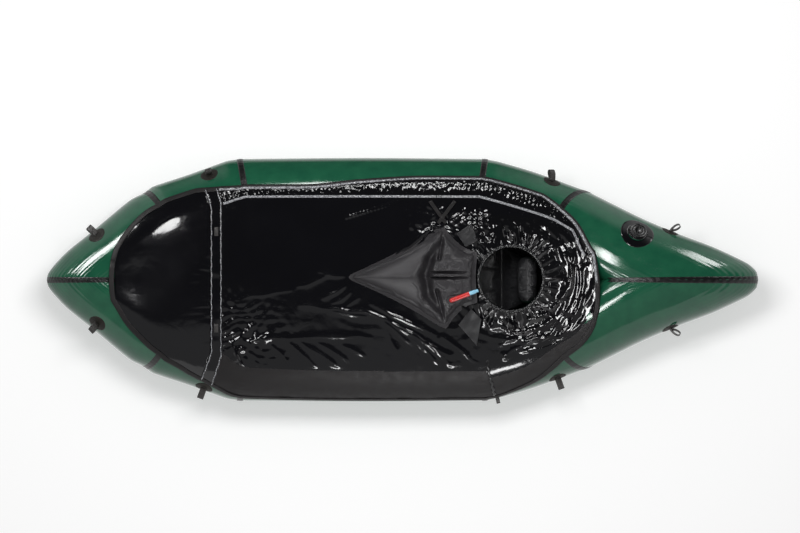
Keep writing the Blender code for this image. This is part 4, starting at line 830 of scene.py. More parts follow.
deck_cloth.data.polygons.foreach_set(
    "material_index", np.where(matte, 1, np.where(crinkled, 2, 0)).astype(np.int32))
print("main deck faces:", len(deck_cloth.data.polygons))

# %% [markdown]
# The bow deck is pulled tight, so it is nearly flat, with only fine tension lines from its
# corners. Behind it a sewn band crosses the deck. The stitching gathers the band's two edges, and
# they show as thin bright lines: thin ribbons whose pale grey colour is painted highlight.

# %% Bow deck and cross band
bow_grid, bow_marks = deck_grid(run_between(BOW_START, 1.538, 0.006), 170)
bow_x, bow_y = bow_grid[..., 0], bow_grid[..., 1]
bow_station = np.linspace(0, 1, len(bow_grid))[:, None]
lines = crumple(bow_x * 0.35 + bow_y * 0.1, bow_y, 0.035, 81, folds=3)
taut = 0.0018 * smooth(0.6, 1.0, bow_station) * lines + 0.0012 * noise(bow_x, bow_y, 0.12, 82)
edge_still = smooth(0, 0.01, bow_marks[..., 1]) * smooth(0, 0.01, bow_marks[..., 2])
bow_grid = bow_grid + upward_normals(bow_grid) * (taut * edge_still)[..., None]
bow_deck = lay_sheet("bow_deck", bow_grid, thin_black_film, stands_for=["bow_deck_panel"],
                     slot="deck_fabric")

band_grid, _ = deck_grid(run_between(1.536, 1.684, 0.0028), 300)
band_share = np.linspace(0, 1, len(band_grid))[:, None]
band_y = band_grid[..., 1]
sewn = np.exp(-(np.minimum(band_share, 1 - band_share) / 0.10) ** 2)
gathers = 0.5 + 0.5 * np.sin(band_y * 2 * pi / 0.012 + 3 * noise(band_y, band_y * 0, 0.05, 91))
band_height = 0.0010 + sewn * (0.0008 + 0.0016 * gathers) + 0.0012 * noise(
    band_grid[..., 0], band_y, 0.03, 92)
band_grid = band_grid + upward_normals(band_grid) * band_height[..., None]
cross_band = lay_sheet("sewn_cross_band", band_grid, thin_black_film,
                       stands_for=["deck_cross_band"], slot="deck_fabric")


# %% [markdown]
# A matte woven tape binds the deck's edge to the tubes. Inside it, on the starboard side and round
# the stern, two lines of thin piping hold the puckered channel between them. The piping and the
# thin lines at the cross band's edges have painted glints in their colour: small patches from near
# white to dark grey.

# %% Rim tape and piping


def ribbon_grid(points, normals, half_width, columns=5, crown=0.0006):
    """Rows across a ribbon that follows points, a little raised in its middle.

    normals is one normal for each point, or one for them all.
    """
    normals = np.broadcast_to(np.asarray(normals, float), points.shape)
    ahead = np.gradient(points, axis=0)
    across = np.cross(normals, ahead)
    across /= np.linalg.norm(across, axis=1, keepdims=True)
    share = np.linspace(-1, 1, columns)
    rise = crown * (1 - share ** 2)
    return (points[:, None] + across[:, None] * (share * half_width)[None, :, None]
            + normals[:, None] * rise[None, :, None])


def lay_ribbon(name, points, normals, half_width, columns, crown, finish, thickness, **rest):
    """A ribbon of cloth that lies on its points, thickened upwards."""
    rows = ribbon_grid(points, normals, half_width, columns, crown)
    return lay_sheet(name, rows, finish, thickness=thickness, offset=1.0, **rest)


def skin_normals(side, places, turns):
    out = skin(side, places, turns, 0.01) - skin(side, places, turns, 0)
    return out / np.linalg.norm(out, axis=-1, keepdims=True)


def bridge(start, end, count, bulge, droop):
    share = np.linspace(0, 1, count + 2)[1:-1]
    points = start + (end - start) * share[:, None]
    rise = 4 * share * (1 - share)
    points[:, 0] += bulge * rise
    points[:, 2] -= droop * rise
    return points


def rim_loop(lift):
    """Points and normals right round the deck's edge."""
    places = run_between(BOW_START, DECK_END, 0.008)
    lines = {}
    for side in (1, -1):
        turns = edge_turn(side, places)
        lines[side] = (skin(side, places, turns, DECK_CLEARANCE + lift),
                       skin_normals(side, places, np.minimum(turns, 90)))
    aft = bridge(lines[1][0][-1], lines[-1][0][-1], 16, 0.008, 0.006)
    fore = bridge(lines[-1][0][0], lines[1][0][0], 4, -0.006, 0)
    points = np.concatenate((lines[1][0], aft, lines[-1][0][::-1], fore))
    normals = np.concatenate((lines[1][1], np.tile(UP, (len(aft), 1)), lines[-1][1][::-1],
                              np.tile(UP, (len(fore), 1))))
    return points, normals


rim_points, rim_normals = rim_loop(0.0020)
rim_rows = ribbon_grid(rim_points, rim_normals, 0.0095)
rim_rows = np.concatenate((rim_rows, rim_rows[:1]))
lay_sheet("woven_rim_tape", rim_rows, matte_black_nylon, thickness=0.0009, offset=1.0,
          stands_for=["deck_rim_tape"], slot="webbing")

outer_places = run_between(1.70, DECK_END, 0.006)
outer_turns = edge_turn(1, outer_places)
outer_line = skin(1, outer_places, outer_turns, DECK_CLEARANCE + 0.0030)
outer_line[:, 1] -= 0.004
inner_line = skin(1, outer_places, np.maximum(91, outer_turns + 4), DECK_CLEARANCE + 0.0030)
aft_line = bridge(outer_line[-1], skin(-1, DECK_END, 106, DECK_CLEARANCE + 0.003), 16,
                  0.006, 0.006)
outer_route = np.concatenate((outer_line, aft_line[:9]))
outer_route[:, 2] += 0.0006 * np.sin(np.arange(len(outer_route)) * 1.7)
# Both lines of piping are coloured with painted glints, near white on dark grey.
lay_ribbon("outer_piping", outer_route, (0, 0.2, 0.98), 0.0050, 7, 0.0022, piping_and_seam_painted_glints,
           0.0012, slot="tape")
curl = smooth(3.75, DECK_END, outer_places)[:, None] * np.array((-0.022, -0.004, 0.0))
inner_route = inner_line + curl
inner_route[:, 2] += 0.0008 * np.sin(np.arange(len(inner_route)) * 2.1)
lay_ribbon("inner_piping", inner_route, (0, -0.1, 0.99), 0.0048, 7, 0.0020, piping_and_seam_painted_glints,
           0.0012, slot="tape")
# The band's edge lines are thin ribbons whose pale colour is a painted highlight.
for name, place in (("band_seam_fore", 1.547), ("band_seam_aft", 1.671)):
    row = deck_grid([place], 260, 0.0034)[0][0]
    row[:, 2] += 0.0007 * np.sin(np.arange(260) * 1.35)
    row[:, 0] += 0.0010 * np.sin(np.arange(260) * 0.45)
    lay_ribbon(name, row, UP, 0.0017, 5, 0.0010, piping_and_seam_painted_glints, 0.0010, slot="tape")
print("rim tape and piping laid")

# %% [markdown]
# # The hem is a tunnel of the same thin cloth with elastic cord inside. Drawn up, it turns
# # into a fat gathered ring: many narrow lobes of slightly different size.

# %% Gathered hem
hem_turns = 2 * pi * np.arange(560) / 560
hem_rings = []
for turn in hem_turns:
    lobe = abs((turn * 74 / (2 * pi) + 0.35 * sin(turn * 9)) % 1 * 2 - 1)
    fat = HEM_RADIUS * (0.80 + 0.34 * lobe + 0.08 * sin(turn * 17))
    rise = 0.0018 * sin(turn * 13 + 1) + 0.0012 * sin(turn * 31)
    ring = []
    for k in range(12):
        angle = 2 * pi * k / 12
        swell = HEM_RADIUS - 0.0045 * abs(sin(turn)) - 0.002 + fat * cos(angle)
        ring.append((HOLE[0] + (HOLE_HALF[0] + swell) * cos(turn),
                     HOLE[1] + (HOLE_HALF[1] + swell) * sin(turn),
                     hem_z + rise + fat * sin(angle)))
    hem_rings.append(ring)
sweep("gathered_hem", hem_rings, crinkled_black_film, closed=True,
      stands_for=["hem_elastic"], slot="deck_fabric")

# %% [markdown]
# # The closure of the deck ends in a raised, folded edge beside the hole. Two small keepers of
# # webbing are sewn onto the cross band. Both are straps, so both are bent ribbons.

# %% Closure edge and keepers
WELT_STATION = 3.10
welt_turns = np.linspace(92, 30, 40)
welt_points = skin(-1, WELT_STATION, welt_turns, DECK_CLEARANCE + 0.0030)
welt_points[:, 0] += 0.0025 * np.sin(np.arange(40) * 0.9)
welt_normals = skin_normals(-1, WELT_STATION, welt_turns)
lay_ribbon("closure_edge", welt_points, welt_normals, 0.0055, 7, 0.0030, crinkled_black_film,
           0.0014, stands_for=["closure_welt"], slot="deck_fabric")

KEEPER_STATION, KEEPER_SHARE, KEEPER_HALF = 1.61, 0.65, 0.017
crest = float(skin(1, KEEPER_STATION, 90)[1])
shares = np.linspace(-1, 1, 21)
tops = {side: skin(side, KEEPER_STATION, 90, DECK_CLEARANCE + 0.0045) for side in (1, -1)}
for side in (1, -1):
    route = hang_between(tops[-1], tops[1], side * (KEEPER_SHARE + shares * KEEPER_HALF / crest))
    route[:, 2] += 0.0032 * (1 - shares ** 4)
    lay_ribbon(f"sewn_keeper_{SIDE_NAMES[side]}", route, UP, 0.0078, 5, 0.0002, ribbed_webbing,
               0.0016, stands_for=[f"keeper_{SIDE_NAMES[side]}"], slot="webbing")
print("hem, closure edge and keepers laid")

# %% [markdown]
# # The knee pillow is two layers of matte nylon welded together round the edge and along a few
# # lines inside, then blown up. Air pushes the cloth out between the welds, so the welds become
# # valleys and the cloth near the corners stays flat. The pillow is built as rings from its
# # middle to its edge, and each weld presses a groove into its height.

# %% Air in a cushion


def inflate(item, welded, pressure, reach, growth=0.04):
    """Blows a closed cushion up with the cloth solver, its welded points held still.

    No point ends further than reach from where it began, or below the cushion's lowest point,
    where it lies on something. growth lets the cloth be a little bigger than the cushion,
    which is what makes the small wrinkles beside a weld.
    """
    start = np.array([vertex.co for vertex in item.data.vertices])
    group = item.vertex_groups.new(name="weld")
    group.add([int(i) for i in np.flatnonzero(welded)], 1.0, "REPLACE")
    cloth = item.modifiers.new("air", "CLOTH")
    cloth.settings.vertex_group_mass = "weld"
    cloth.settings.use_pressure = True
    cloth.settings.uniform_pressure_force = pressure
    cloth.settings.effector_weights.gravity = 0
    cloth.settings.shrink_min = -growth
    cloth.settings.bending_stiffness = 0.2
    cloth.collision_settings.use_collision = False
    scene = bpy.context.scene
    for step in range(1, 21):
        scene.frame_set(step)
    shaped = item.evaluated_get(bpy.context.evaluated_depsgraph_get()).to_mesh()
    moved = np.array([vertex.co for vertex in shaped.vertices]) - start
    item.modifiers.remove(cloth)
    item.vertex_groups.remove(group)
    scene.frame_set(1)
    far = np.linalg.norm(moved, axis=1, keepdims=True)
    moved = moved * np.minimum(1, reach / np.maximum(far, 1e-9))
    blown = start + moved
    blown[:, 2] = np.maximum(blown[:, 2], start[:, 2].min())
    item.data.vertices.foreach_set("co", blown.ravel())
    item.data.update()
    item.modifiers.new("smooth", "SUBSURF").levels = 1
    print(item.name, "moved by up to", round(float(far.max()) * 1000, 1), "mm")


# %% Knee pillow
PILLOW_CENTRE = np.array((0.100, 0.003))
PILLOW_CORNERS = np.array((
    (-0.222, 0.010), (0.152, 0.210), (0.222, 0.132), (0.286, 0.104), (0.286, -0.086),
    (0.226, -0.112), (0.164, -0.190)))
PILLOW_HEIGHT, PILLOW_BORDER = 0.070, 0.017
# Welds inside the pillow: start, end, width, and how deep they go, in metres and shares.
PILLOW_WELDS = (
    ((0.140, 0.130), (0.104, 0.076), 0.018, 0.72), ((0.104, 0.076), (0.088, 0.018), 0.019, 0.78),
    ((0.088, 0.018), (0.100, -0.058), 0.019, 0.78),
    ((0.100, -0.058), (0.140, -0.112), 0.018, 0.72),
    ((0.140, 0.080), (0.156, 0.188), 0.008, 0.60), ((0.132, -0.042), (0.160, -0.168), 0.008, 0.60),
    ((0.108, 0.028), (0.290, 0.028), 0.0034, 0.45), ((0.108, 0.008), (0.290, 0.008), 0.0034, 0.45),
)


def deck_level(px, py):
    """Height of the deck between the tubes at places in plan."""
    station = 2 + (px - CENTRE[2][0]) / (CENTRE[3][0] - CENTRE[2][0])
    crest = float(skin(1, 2.5, 90)[1])
    base = skin(1, station, 90, DECK_CLEARANCE)[..., 2]
    share = py / crest
    level = base - (1 - share * share) ** 2 * DECK_SAG
    out = np.linalg.norm((np.stack((px, py), axis=-1) - HOLE) / HOLE_HALF, axis=-1)
    rise = np.clip(1 - (out - 1) * HOLE_HALF.mean() / TENT_REACH, 0, 1) ** TENT_POWER
    return level + (hem_z - level) * rise


def round_outline(corners, count, pull):
    """A polygon with evenly spaced points, its sides drawn in a little between corners."""
    outline = []
    centre = corners.mean(axis=0)
    for here, after in zip(corners, np.roll(corners, -1, axis=0)):
        share = np.arange(count)[:, None] / count
        points = here + (after - here) * share
        waist = pull * np.sin(pi * share) * min(1, np.linalg.norm(after - here) / 0.2)
        outline.append(points + (centre - points) * waist)
    return np.concatenate(outline)


outline = round_outline(PILLOW_CORNERS, 26, 0.06)
kernel = np.array((1, 2, 3, 2, 1)) / 9
outline = np.stack([np.convolve(np.concatenate((outline[-2:, k], outline[:, k], outline[:2, k])),
                                kernel, mode="valid") for k in range(2)], axis=1)
spans = np.linalg.norm(outline - PILLOW_CENTRE, axis=1)
levels = np.concatenate((np.linspace(0.02, 0.9, 40), np.linspace(0.9, 1, 12)[1:]))
rings, held = [], []
for level in levels:
    flat = PILLOW_CENTRE + (outline - PILLOW_CENTRE) * level
    inside = (1 - level) * spans - PILLOW_BORDER
    puff = np.clip(inside / 0.085, 0, None)
    rise = np.where(inside > 0, np.tanh(puff ** 0.58 * 1.25), 0)
    pressed = np.ones(len(outline))
    for start, end, width, depth in PILLOW_WELDS:
        start, end = np.array(start), np.array(end)
        run = end - start
        near = np.clip((flat - start) @ run / (run @ run), 0, 1)
        off = np.linalg.norm(flat - start - near[:, None] * run, axis=1) / width
        pressed = pressed * (1 - depth * np.exp(-off ** 2))
    rise = rise * pressed
    wrinkle = 0.0010 * noise(flat[:, 0], flat[:, 1], 0.035, 101) * (inside > 0.01)
    held.append((inside < 0.004) | (pressed < 0.80) | (level < 0.08))
    over_hem = 0.011 * smooth(0.235, 0.275, flat[:, 0])
    z = deck_level(flat[:, 0], flat[:, 1]) + 0.0022 + over_hem + PILLOW_HEIGHT * rise + wrinkle
    rings.append(np.stack((flat[:, 0], flat[:, 1], z), axis=1))
low = rings[-1].copy()
low[:, 2] -= 0.0018
under = PILLOW_CENTRE + (outline - PILLOW_CENTRE) * 0.05
under = np.stack((under[:, 0], under[:, 1], deck_level(under[:, 0], under[:, 1]) + 0.0006), axis=1)
pillow = sweep("knee_pillow_cloth", np.array(rings + [low, under])[::-1], pillow_nylon,
               stands_for=["knee_pillow"], slot="pillow_fabric")
still_rings = np.array(held + [np.ones(len(outline), bool)] * 2)[::-1]
inflate(pillow, still_rings.ravel(), 3.0, 0.006)
print("pillow points:", len(pillow.data.vertices))

# %% [markdown]
# # Two flat tapes cross between the pillow's top corner and the rim, and two loose flaps of
# # deck cloth lie beside the pillow's rear corners.

# %% Cross tapes and flaps
CROSS_TAPES = (
    ("cross_tape_first", (0.1046, 0.300), (0.165, 0.215), ["pillow_cross_tape"]),
    ("cross_tape_second", (0.1996, 0.300), (0.135, 0.215), []),
)
for name, start, end, stands in CROSS_TAPES:
    share = np.linspace(0, 1, 24)[:, None]
    plan = np.array(start) + (np.array(end) - np.array(start)) * share
    height = deck_level(plan[:, 0], plan[:, 1]) + 0.0095 + 0.001 * np.sin(share[:, 0] * 17)
    route = np.concatenate((plan, height[:, None]), axis=1)
    lay_ribbon(name, route, UP, 0.0068, 5, 0.0004, matte_black_nylon, 0.0008,
               stands_for=stands, slot="tape")

FLAPS = (
    ((0.205, 0.176), (0.262, 0.214), (0.286, 0.150), (0.240, 0.126)),
    ((0.212, -0.170), (0.262, -0.110), (0.300, -0.150), (0.282, -0.250)),
)
for name, flap in zip(("deck_flap_starboard", "deck_flap_port"), FLAPS):
    a, b, c, d = [np.array(corner) for corner in flap]
    u, v = np.meshgrid(np.linspace(0, 1, 26), np.linspace(0, 1, 26), indexing="ij")
    plan = ((a * (1 - u[..., None]) + b * u[..., None]) * (1 - v[..., None])
            + (d * (1 - u[..., None]) + c * u[..., None]) * v[..., None])
    bend = 0.0085 + 0.008 * crumple(plan[..., 0], plan[..., 1], 0.050, 111) - 0.004 * u * v
    z = deck_level(plan[..., 0], plan[..., 1]) + bend
    flap_grid = np.concatenate((plan, z[..., None]), axis=-1)
    piece = lay_sheet(name, flap_grid, seat_nylon, flip=True, slot="pillow_fabric")
print("cross tapes and flaps laid")

# %% [markdown]
# # The pillow is blown up through a soft red tube with a light blue twist tip. The tube
# # stands on a small round flange and bends over at once. The tip turns on the tube's end.

# %% Mouth valve
foot_plan, end_plan = np.array((0.186, -0.078)), np.array((0.288, -0.040))
stem_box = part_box("mouth_valve_stem")
foot_z = stem_box[0].z
heading = (end_plan - foot_plan) / np.linalg.norm(end_plan - foot_plan)
run3, level3 = np.array((*heading, 0)), np.array((-heading[1], heading[0], 0))
tube_radius, clearance = 0.0085, 0.012
shoulder = np.array((*(end_plan - heading * 0.036), foot_z + clearance))
points, faces = lathe([(0.0, 0.0), (0.0165, 0.0), (0.0168, 0.0010), (0.0150, 0.0018),
                       (0.0100, 0.0021), (0.0, 0.0021)], 48)
make_mesh("mouth_tube_flange", points + np.array((*foot_plan, foot_z)), faces, pillow_nylon,
          stands_for=["mouth_valve_stem"], slot="pillow_fabric")
bend = clearance - 0.0024
route = [(np.array((*foot_plan, foot_z + 0.0018)), tube_radius * 0.96, UP)]
for turn in np.radians(np.linspace(12, 90, 12)):
    spot = np.array((*foot_plan, foot_z + 0.0024))
    spot = spot + UP * bend * sin(turn) + run3 * bend * (1 - cos(turn))
    route.append((spot, tube_radius, UP * cos(turn) + run3 * sin(turn)))
bend_end = route[-1][0]
for k, share in enumerate(np.linspace(0, 1, 30)[1:]):
    spot = bend_end + (shoulder - bend_end) * share
    route.append((spot, tube_radius * (1 + 0.035 * (k % 4 == 0) * (share > 0.6)), run3))
route += [(shoulder, 0.0048, run3), (shoulder + run3 * 0.009, 0.0048, run3)]
stem_rings = []
for spot, radius, along in route:
    other = np.cross(along, level3)
    turn = 2 * pi * np.arange(28) / 28
    circle = level3 * np.cos(turn)[:, None] + other * np.sin(turn)[:, None]
    stem_rings.append(spot + circle * radius)
sweep("red_mouth_tube", stem_rings, soft_red_vinyl, stands_for=["mouth_valve_stem"],
      slot="red_tube")

tip_length, tip_radius = 0.0357, 0.0078
tip_profile = [(0.0052, 0.0090), (0.0052, 0.0)]
for s in np.linspace(0, 0.6, 25):
    groove = 0.0004 * (0.5 + 0.5 * np.sign(np.sin(s * 70)))
    tip_profile.append((tip_radius - groove, tip_length * s))
for s in np.linspace(0, 1, 7):
    tip_profile.append((tip_radius - 0.0016 * smooth(0, 1, s), tip_length * (0.6 + 0.12 * s)))
tip_profile += [(0.0060, tip_length * 0.8), (0.0062, tip_length * 0.97), (0.0056, tip_length),
                (0.0028, tip_length), (0.0022, tip_length * 0.9), (0.0, tip_length * 0.9)]
points, faces = lathe(tip_profile, 36)
tip_axes = Matrix((Vector(np.cross(UP, run3)), Vector(UP), Vector(run3))).transposed().to_4x4()
tip_axes.translation = Vector(shoulder + run3 * GAP + SHIFT)
make_mesh("blue_twist_tip", points, faces, moulded_blue_plastic, body="mouth_valve_tip",
          stands_for=["mouth_valve_tip"], slot="blue_plastic", place=tip_axes)
print("mouth valve made")

# %% [markdown]
# # Seen through the hole are an inflated seat and a back roll. Both are welded cushions: air
# # fills the lanes between straight welds, the edge is a thin seam, and the corners pull in.

# %% Seat and back roll


def cushion_grid(half_x, half_y_of, height, lanes, valleys=(), size=64):
    """Upper and lower grids of a cushion, pressed in by welds along X and across it."""
    along, across = np.meshgrid(np.linspace(-1, 1, size), np.linspace(-1, 1, size), indexing="ij")
    px = half_x * along * np.sqrt(1 - 0.18 * across ** 2)
    py = half_y_of(px) * across * np.sqrt(1 - 0.18 * along ** 2)
    crown = ((1 - along ** 4) * (1 - across ** 4)) ** 0.42
    groove = 1 - 0.10 * sum(np.exp(-((across - lane) / 0.075) ** 2) for lane in lanes)
    for place, width, depth in valleys:
        groove = groove * (1 - depth * np.exp(-((px - place) / width) ** 2))
    body = height * (0.5 + 0.5 * crown * groove)
    tuck = height * 0.5 * (1 - crown)
    wrinkle = 0.0012 * noise(px, py, 0.02, 121) * crown
    upper = np.stack((px, py, np.maximum(body, tuck + 0.0008) + wrinkle), axis=-1)
    welded = (crown < 0.12) | (groove < 0.5)
    return upper, np.stack((px, py, tuck), axis=-1), np.concatenate((welded, welded)).ravel()


def cushion_mesh(name, upper, lower, finish, **rest):
    rows, columns = upper.shape[:2]
    top = cell_faces(rows, columns)[:, ::-1]
    bottom = cell_faces(rows, columns) + rows * columns
    index = np.arange(rows * columns).reshape(rows, columns)
    border = np.concatenate((index[0, :-1], index[:-1, -1], index[-1, :0:-1], index[:0:-1, 0]))
    after = np.roll(border, -1)
    count = rows * columns
    sides = np.stack((border, after, after + count, border + count), axis=1)
    points = np.concatenate((upper.reshape(-1, 3), lower.reshape(-1, 3)))
    return make_mesh(name, points, np.concatenate((top, bottom, sides)), finish, **rest)


SEAT_HALF, SEAT_WIDE, SEAT_NARROW = 0.190, 0.152, 0.085


def seat_half_width(px):
    share = np.clip((px - SEAT_HALF * 0.1) / (SEAT_HALF * 0.9), 0, None)
    return SEAT_WIDE + (SEAT_NARROW - SEAT_WIDE) * share


upper, lower, welded = cushion_grid(SEAT_HALF * 0.985, seat_half_width, 0.072, (-0.34, 0.34),
                                    valleys=((0.063, 0.016, 0.9),))
move = np.array((0.315, 0, FLOOR_FABRIC + GAP))
seat = cushion_mesh("inflated_seat", upper + move, lower + move, seat_nylon,
                    stands_for=["seat_cushion"], slot="seat_fabric")
inflate(seat, welded, 3.0, 0.006)

upper, lower, welded = cushion_grid(0.079, lambda px: 0.090 + px * 0, 0.070, (-0.34, 0.34))
back_foot = FLOOR_FABRIC + GAP + 0.072 + 0.0045


def stand_up(grid):
    """Turns a flat cushion so that its thickness points astern and its length up."""
    turned = grid[..., (2, 1, 0)]
    return turned + np.array((0.434 + 0.0045, 0, back_foot + 0.081 - 0.0143))


back = cushion_mesh("inflated_back_roll", stand_up(lower), stand_up(upper), seat_nylon,
                    body="backrest", stands_for=["backrest"], slot="seat_fabric")
inflate(back, welded, 3.0, 0.004)
print("seat and back roll made")

# %% [markdown]
# # The main valve is a stack of turned rings, so each part is one profile turned round an
# # axis. The grip ribs round the cap are a small wave in its radius.

# %% Valve frame


def skin_frame(side, station, turn, lift=0.0):
    """A frame on the skin: X along the tube, Z square to it."""
    ahead = Vector(skin(side, station + 0.01, turn) - skin(side, station - 0.01, turn))
    around = Vector(skin(side, station, turn + 1) - skin(side, station, turn - 1))
    z_axis = (around.cross(ahead) * side).normalized()
    y_axis = z_axis.cross(ahead).normalized()
    place = Matrix((y_axis.cross(z_axis), y_axis, z_axis)).transposed().to_4x4()
    place.translation = Vector(skin(side, station, turn, lift) + SHIFT)
    return place


def skin_patch(name, side, station, turn, hole, radius, finish, stands_for, slot, lift=0.0012):
    """A round patch that follows the skin, its edge a little frayed."""
    place = skin_frame(side, station, turn)
    back = np.array(place.inverted())
    rings = []
    turns = 2 * pi * np.arange(73) / 72
    for level in np.linspace(0, 1, 9):
        reach = hole + (radius - hole) * level
        reach = reach * (1 + 0.006 * np.sin(turns * 23) * (level == 1))
        goal = np.stack((reach * np.cos(turns), reach * np.sin(turns)), axis=1)
        at, angle = np.full(73, station), np.full(73, float(turn))
        for _ in range(8):
            here = (skin(side, at, angle) + SHIFT) @ back[:3, :3].T + back[:3, 3]
            at = at + (goal[:, 0] - here[:, 0]) / LENGTHS[np.clip(at.astype(int), 0, 4)]
            angle = angle - side * np.degrees((goal[:, 1] - here[:, 1]) / TUBE_RADIUS)
        drop = 0.0006 * (level == 1)
        rings.append(skin(side, at, angle, lift - drop))
    return lay_sheet(name, np.array(rings), finish, thickness=0.0006, offset=0.0,
                     stands_for=stands_for, slot=slot)


VALVE_SPOT = (1, 4.43, 52)
valve_place = skin_frame(*VALVE_SPOT)
skin_patch("valve_patch_cloth", *VALVE_SPOT, 0.0375, 0.065, thin_black_film, ["valve_patch"],
           "valve_plastic")

# %% Valve body and cap


def ribbed(points, low, high, sides, count, depth):
    """Presses grip ribs into a turned part between two heights."""
    points = points.reshape(-1, sides, 3).copy()
    turns = 2 * pi * np.arange(sides) / sides
    wave = 1 - depth * (0.5 + 0.5 * np.sign(np.sin(turns * count)))
    chosen = (points[..., 2] > low) & (points[..., 2] < high)
    points[..., :2] = np.where(chosen[..., None], points[..., :2] * wave[None, :, None],
                               points[..., :2])
    return points.reshape(-1, 3)


# Both profiles are written in tenths of a millimetre.
TENTHS = 10000
body_profile = np.array((
    (36, -180), (290, -180), (290, 14), (372, 14), (375, 20), (373, 36), (366, 44), (345, 44),
    (343, 40), (336, 40), (334, 44), (304, 44), (300, 50), (300, 102), (297, 105), (268, 105),
    (265, 102), (265, -160), (36, -160), (36, -180))) / TENTHS
points, faces = lathe(body_profile, 96)
make_mesh("valve_seat_ring", points, faces, moulded_black_rubber, stands_for=["valve_body"],
          slot="valve_plastic", place=valve_place)
cap_profile = np.array((
    (0, 142), (118, 142), (121, 140), (123, 131), (166, 131), (169, 140), (172, 142), (222, 142),
    (225, 140), (227, 131), (262, 131), (265, 140), (268, 142), (322, 142), (330, 137),
    (333, 128), (333, 56), (331, 48), (303, 48), (303, 108), (0, 108))) / TENTHS
points, faces = lathe(cap_profile, 288)
points = ribbed(points, 0.005, 0.0135, 288, 36, 0.018)
make_mesh("valve_cap_grip", points, faces, moulded_black_rubber, body="valve_cap",
          stands_for=["valve_cap"], slot="valve_plastic", place=valve_place)
for node, finish, slot in (("valve_plunger", moulded_blue_plastic, "blue_plastic"),
                           ("valve_spring", drawn_steel_wire, "steel")):
    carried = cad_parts[node]
    carried.data.materials.clear()
    carried.data.materials.append(finish)
print("main valve made")

# %% [markdown]
# # Eight loops of webbing are sewn to round patches for tying gear on. A loop is one strap,
# # folded in two and stitched at its foot. Each turns about its foot, so each is its own piece
# # on its own body. The pull loop at the closure is the same, only smaller.

# %% Tie-down loops
LOOP_PLACES = {
    "bow_starboard": (0.48, 30, 1, -14, 40), "bow_port": (0.47, 34, -1, -14, 10),
    "bow_quarter_starboard": (1.65, 34, 1, 0, -35), "bow_quarter_port": (1.61, 22, -1, 0, 40),
    "stern_quarter_starboard": (3.70, 22, 1, -45, 40), "stern_quarter_port": (3.74, 16, -1, 0, 15),
    "stern_starboard": (4.49, 12, 1, 75, 40), "stern_port": (4.49, 12, -1, 75, 40),
}
STRAP_HALF = 0.012  # half the strap's width, in metres


def egg(low, high, foot, top, count):
    turn = 2 * pi * np.arange(count) / count
    rise = (1 - np.cos(turn)) / 2
    return np.stack((np.sin(turn) * (foot + (top - foot) * rise), low + (high - low) * rise), 1)


def strap_loop(name, spot, scale, lift, body, stands_for):
    station, turn, side, spin, lean = spot
    count, columns = 72, 13
    outer = egg(-0.0026, 0.0420, 0.0042, 0.0125, count)
    inner = egg(0.0100, 0.0402, 0.0045, 0.0100, count)
    share = np.linspace(-1, 1, columns)
    rings = []
    for k, (far, near) in enumerate(zip(outer, inner)):
        skew = 0.0008 * sin(4 * pi * k / count)
        out = [(STRAP_HALF * s, *(far - (far - near) * 0.12 * (abs(s) > 0.95))) for s in share]
        back = [(STRAP_HALF * s, *(near + (far - near) * 0.12 * (abs(s) > 0.95)))
                for s in share[::-1]]
        ring = np.array(out + back) * scale
        ring[:, 1] += skew * scale
        rings.append(ring)
    place = skin_frame(side, station, turn, lift + 0.0026 * scale)
    place = place @ Matrix.Rotation(radians(-side * spin), 4, "Z")
    place = place @ Matrix.Rotation(radians(-side * lean), 4, "X")
    return sweep(name, np.array(rings), ribbed_webbing, closed=True, body=body,
                 stands_for=stands_for, slot="webbing", place=place)


for name, spot in LOOP_PLACES.items():
    station, turn, side, _, _ = spot
    skin_patch(f"anchor_patch_{name}", side, station, turn, 0.0005, 0.034, patch_cloth,
               [f"loop_patch_{name}"], "patch_fabric")
    strap_loop(f"strap_loop_{name}", spot, 1, 0.0020, f"web_loop_{name}", [f"web_loop_{name}"])
strap_loop("pull_tab", (3.12, 17, -1, 0, 30), 0.6, GAP, "pull_loop", ["pull_loop"])
print("loops made:", len(LOOP_PLACES) + 1)

# %% [markdown]
# # The photograph is a plain product view from straight above on white. A large soft lamp
# # lights the boat from the starboard side, so the shadow falls softly along the port side.
# # Glossy cloth shows its surroundings more than its colour. So the surroundings are built as
# # well: dark overhead and to starboard, pale to port, with a few soft lamps that give the
# # long streaks on the tubes.

# %% Floor and overhead cards
scene = bpy.context.scene


def stage_plane(name, size, place):
    mesh = bpy.data.meshes.new(name)
    half_x, half_y = size[0] / 2, size[1] / 2
    mesh.from_pydata([(-half_x, -half_y, 0), (half_x, -half_y, 0), (half_x, half_y, 0),
                      (-half_x, half_y, 0)], [], [(0, 1, 2, 3)])
    item = bpy.data.objects.new(name, mesh)
    item.location = place
    bpy.context.collection.objects.link(item)
    item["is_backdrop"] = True
    material = bpy.data.materials.new(name)
    material.use_nodes = True
    material.node_tree.nodes.clear()
    mesh.materials.append(material)
    return item, material.node_tree


def ramp(tree, value, start, end, low, high):
    """A soft ramp from low to high while value goes from start to end."""
    return add(tree, "ShaderNodeMapRange", {
        "Value": value, "From Min": start, "From Max": end, "To Min": low, "To Max": high},
        interpolation_type="SMOOTHSTEP").outputs["Result"]


floor_plane, tree = stage_plane("studio_floor", (24, 24), (0, 0, -0.0002))
paper = add(tree, "ShaderNodeBsdfDiffuse", {"Color": linear("#f4f4f4")})
shaded = add(tree, "ShaderNodeBsdfDiffuse", {"Color": linear("#dcdcdc")})
clean = add(tree, "ShaderNodeEmission", {"Strength": 0.42})
seen = add(tree, "ShaderNodeAddShader", {0: shaded.outputs[0], 1: clean.outputs[0]})
ray = add(tree, "ShaderNodeLightPath")
pick = add(tree, "ShaderNodeMixShader", {0: ray.outputs["Is Camera Ray"], 1: paper.outputs[0],
                                         2: seen.outputs[0]})
add(tree, "ShaderNodeOutputMaterial", {"Surface": pick.outputs[0]})
floor_plane.visible_glossy = False

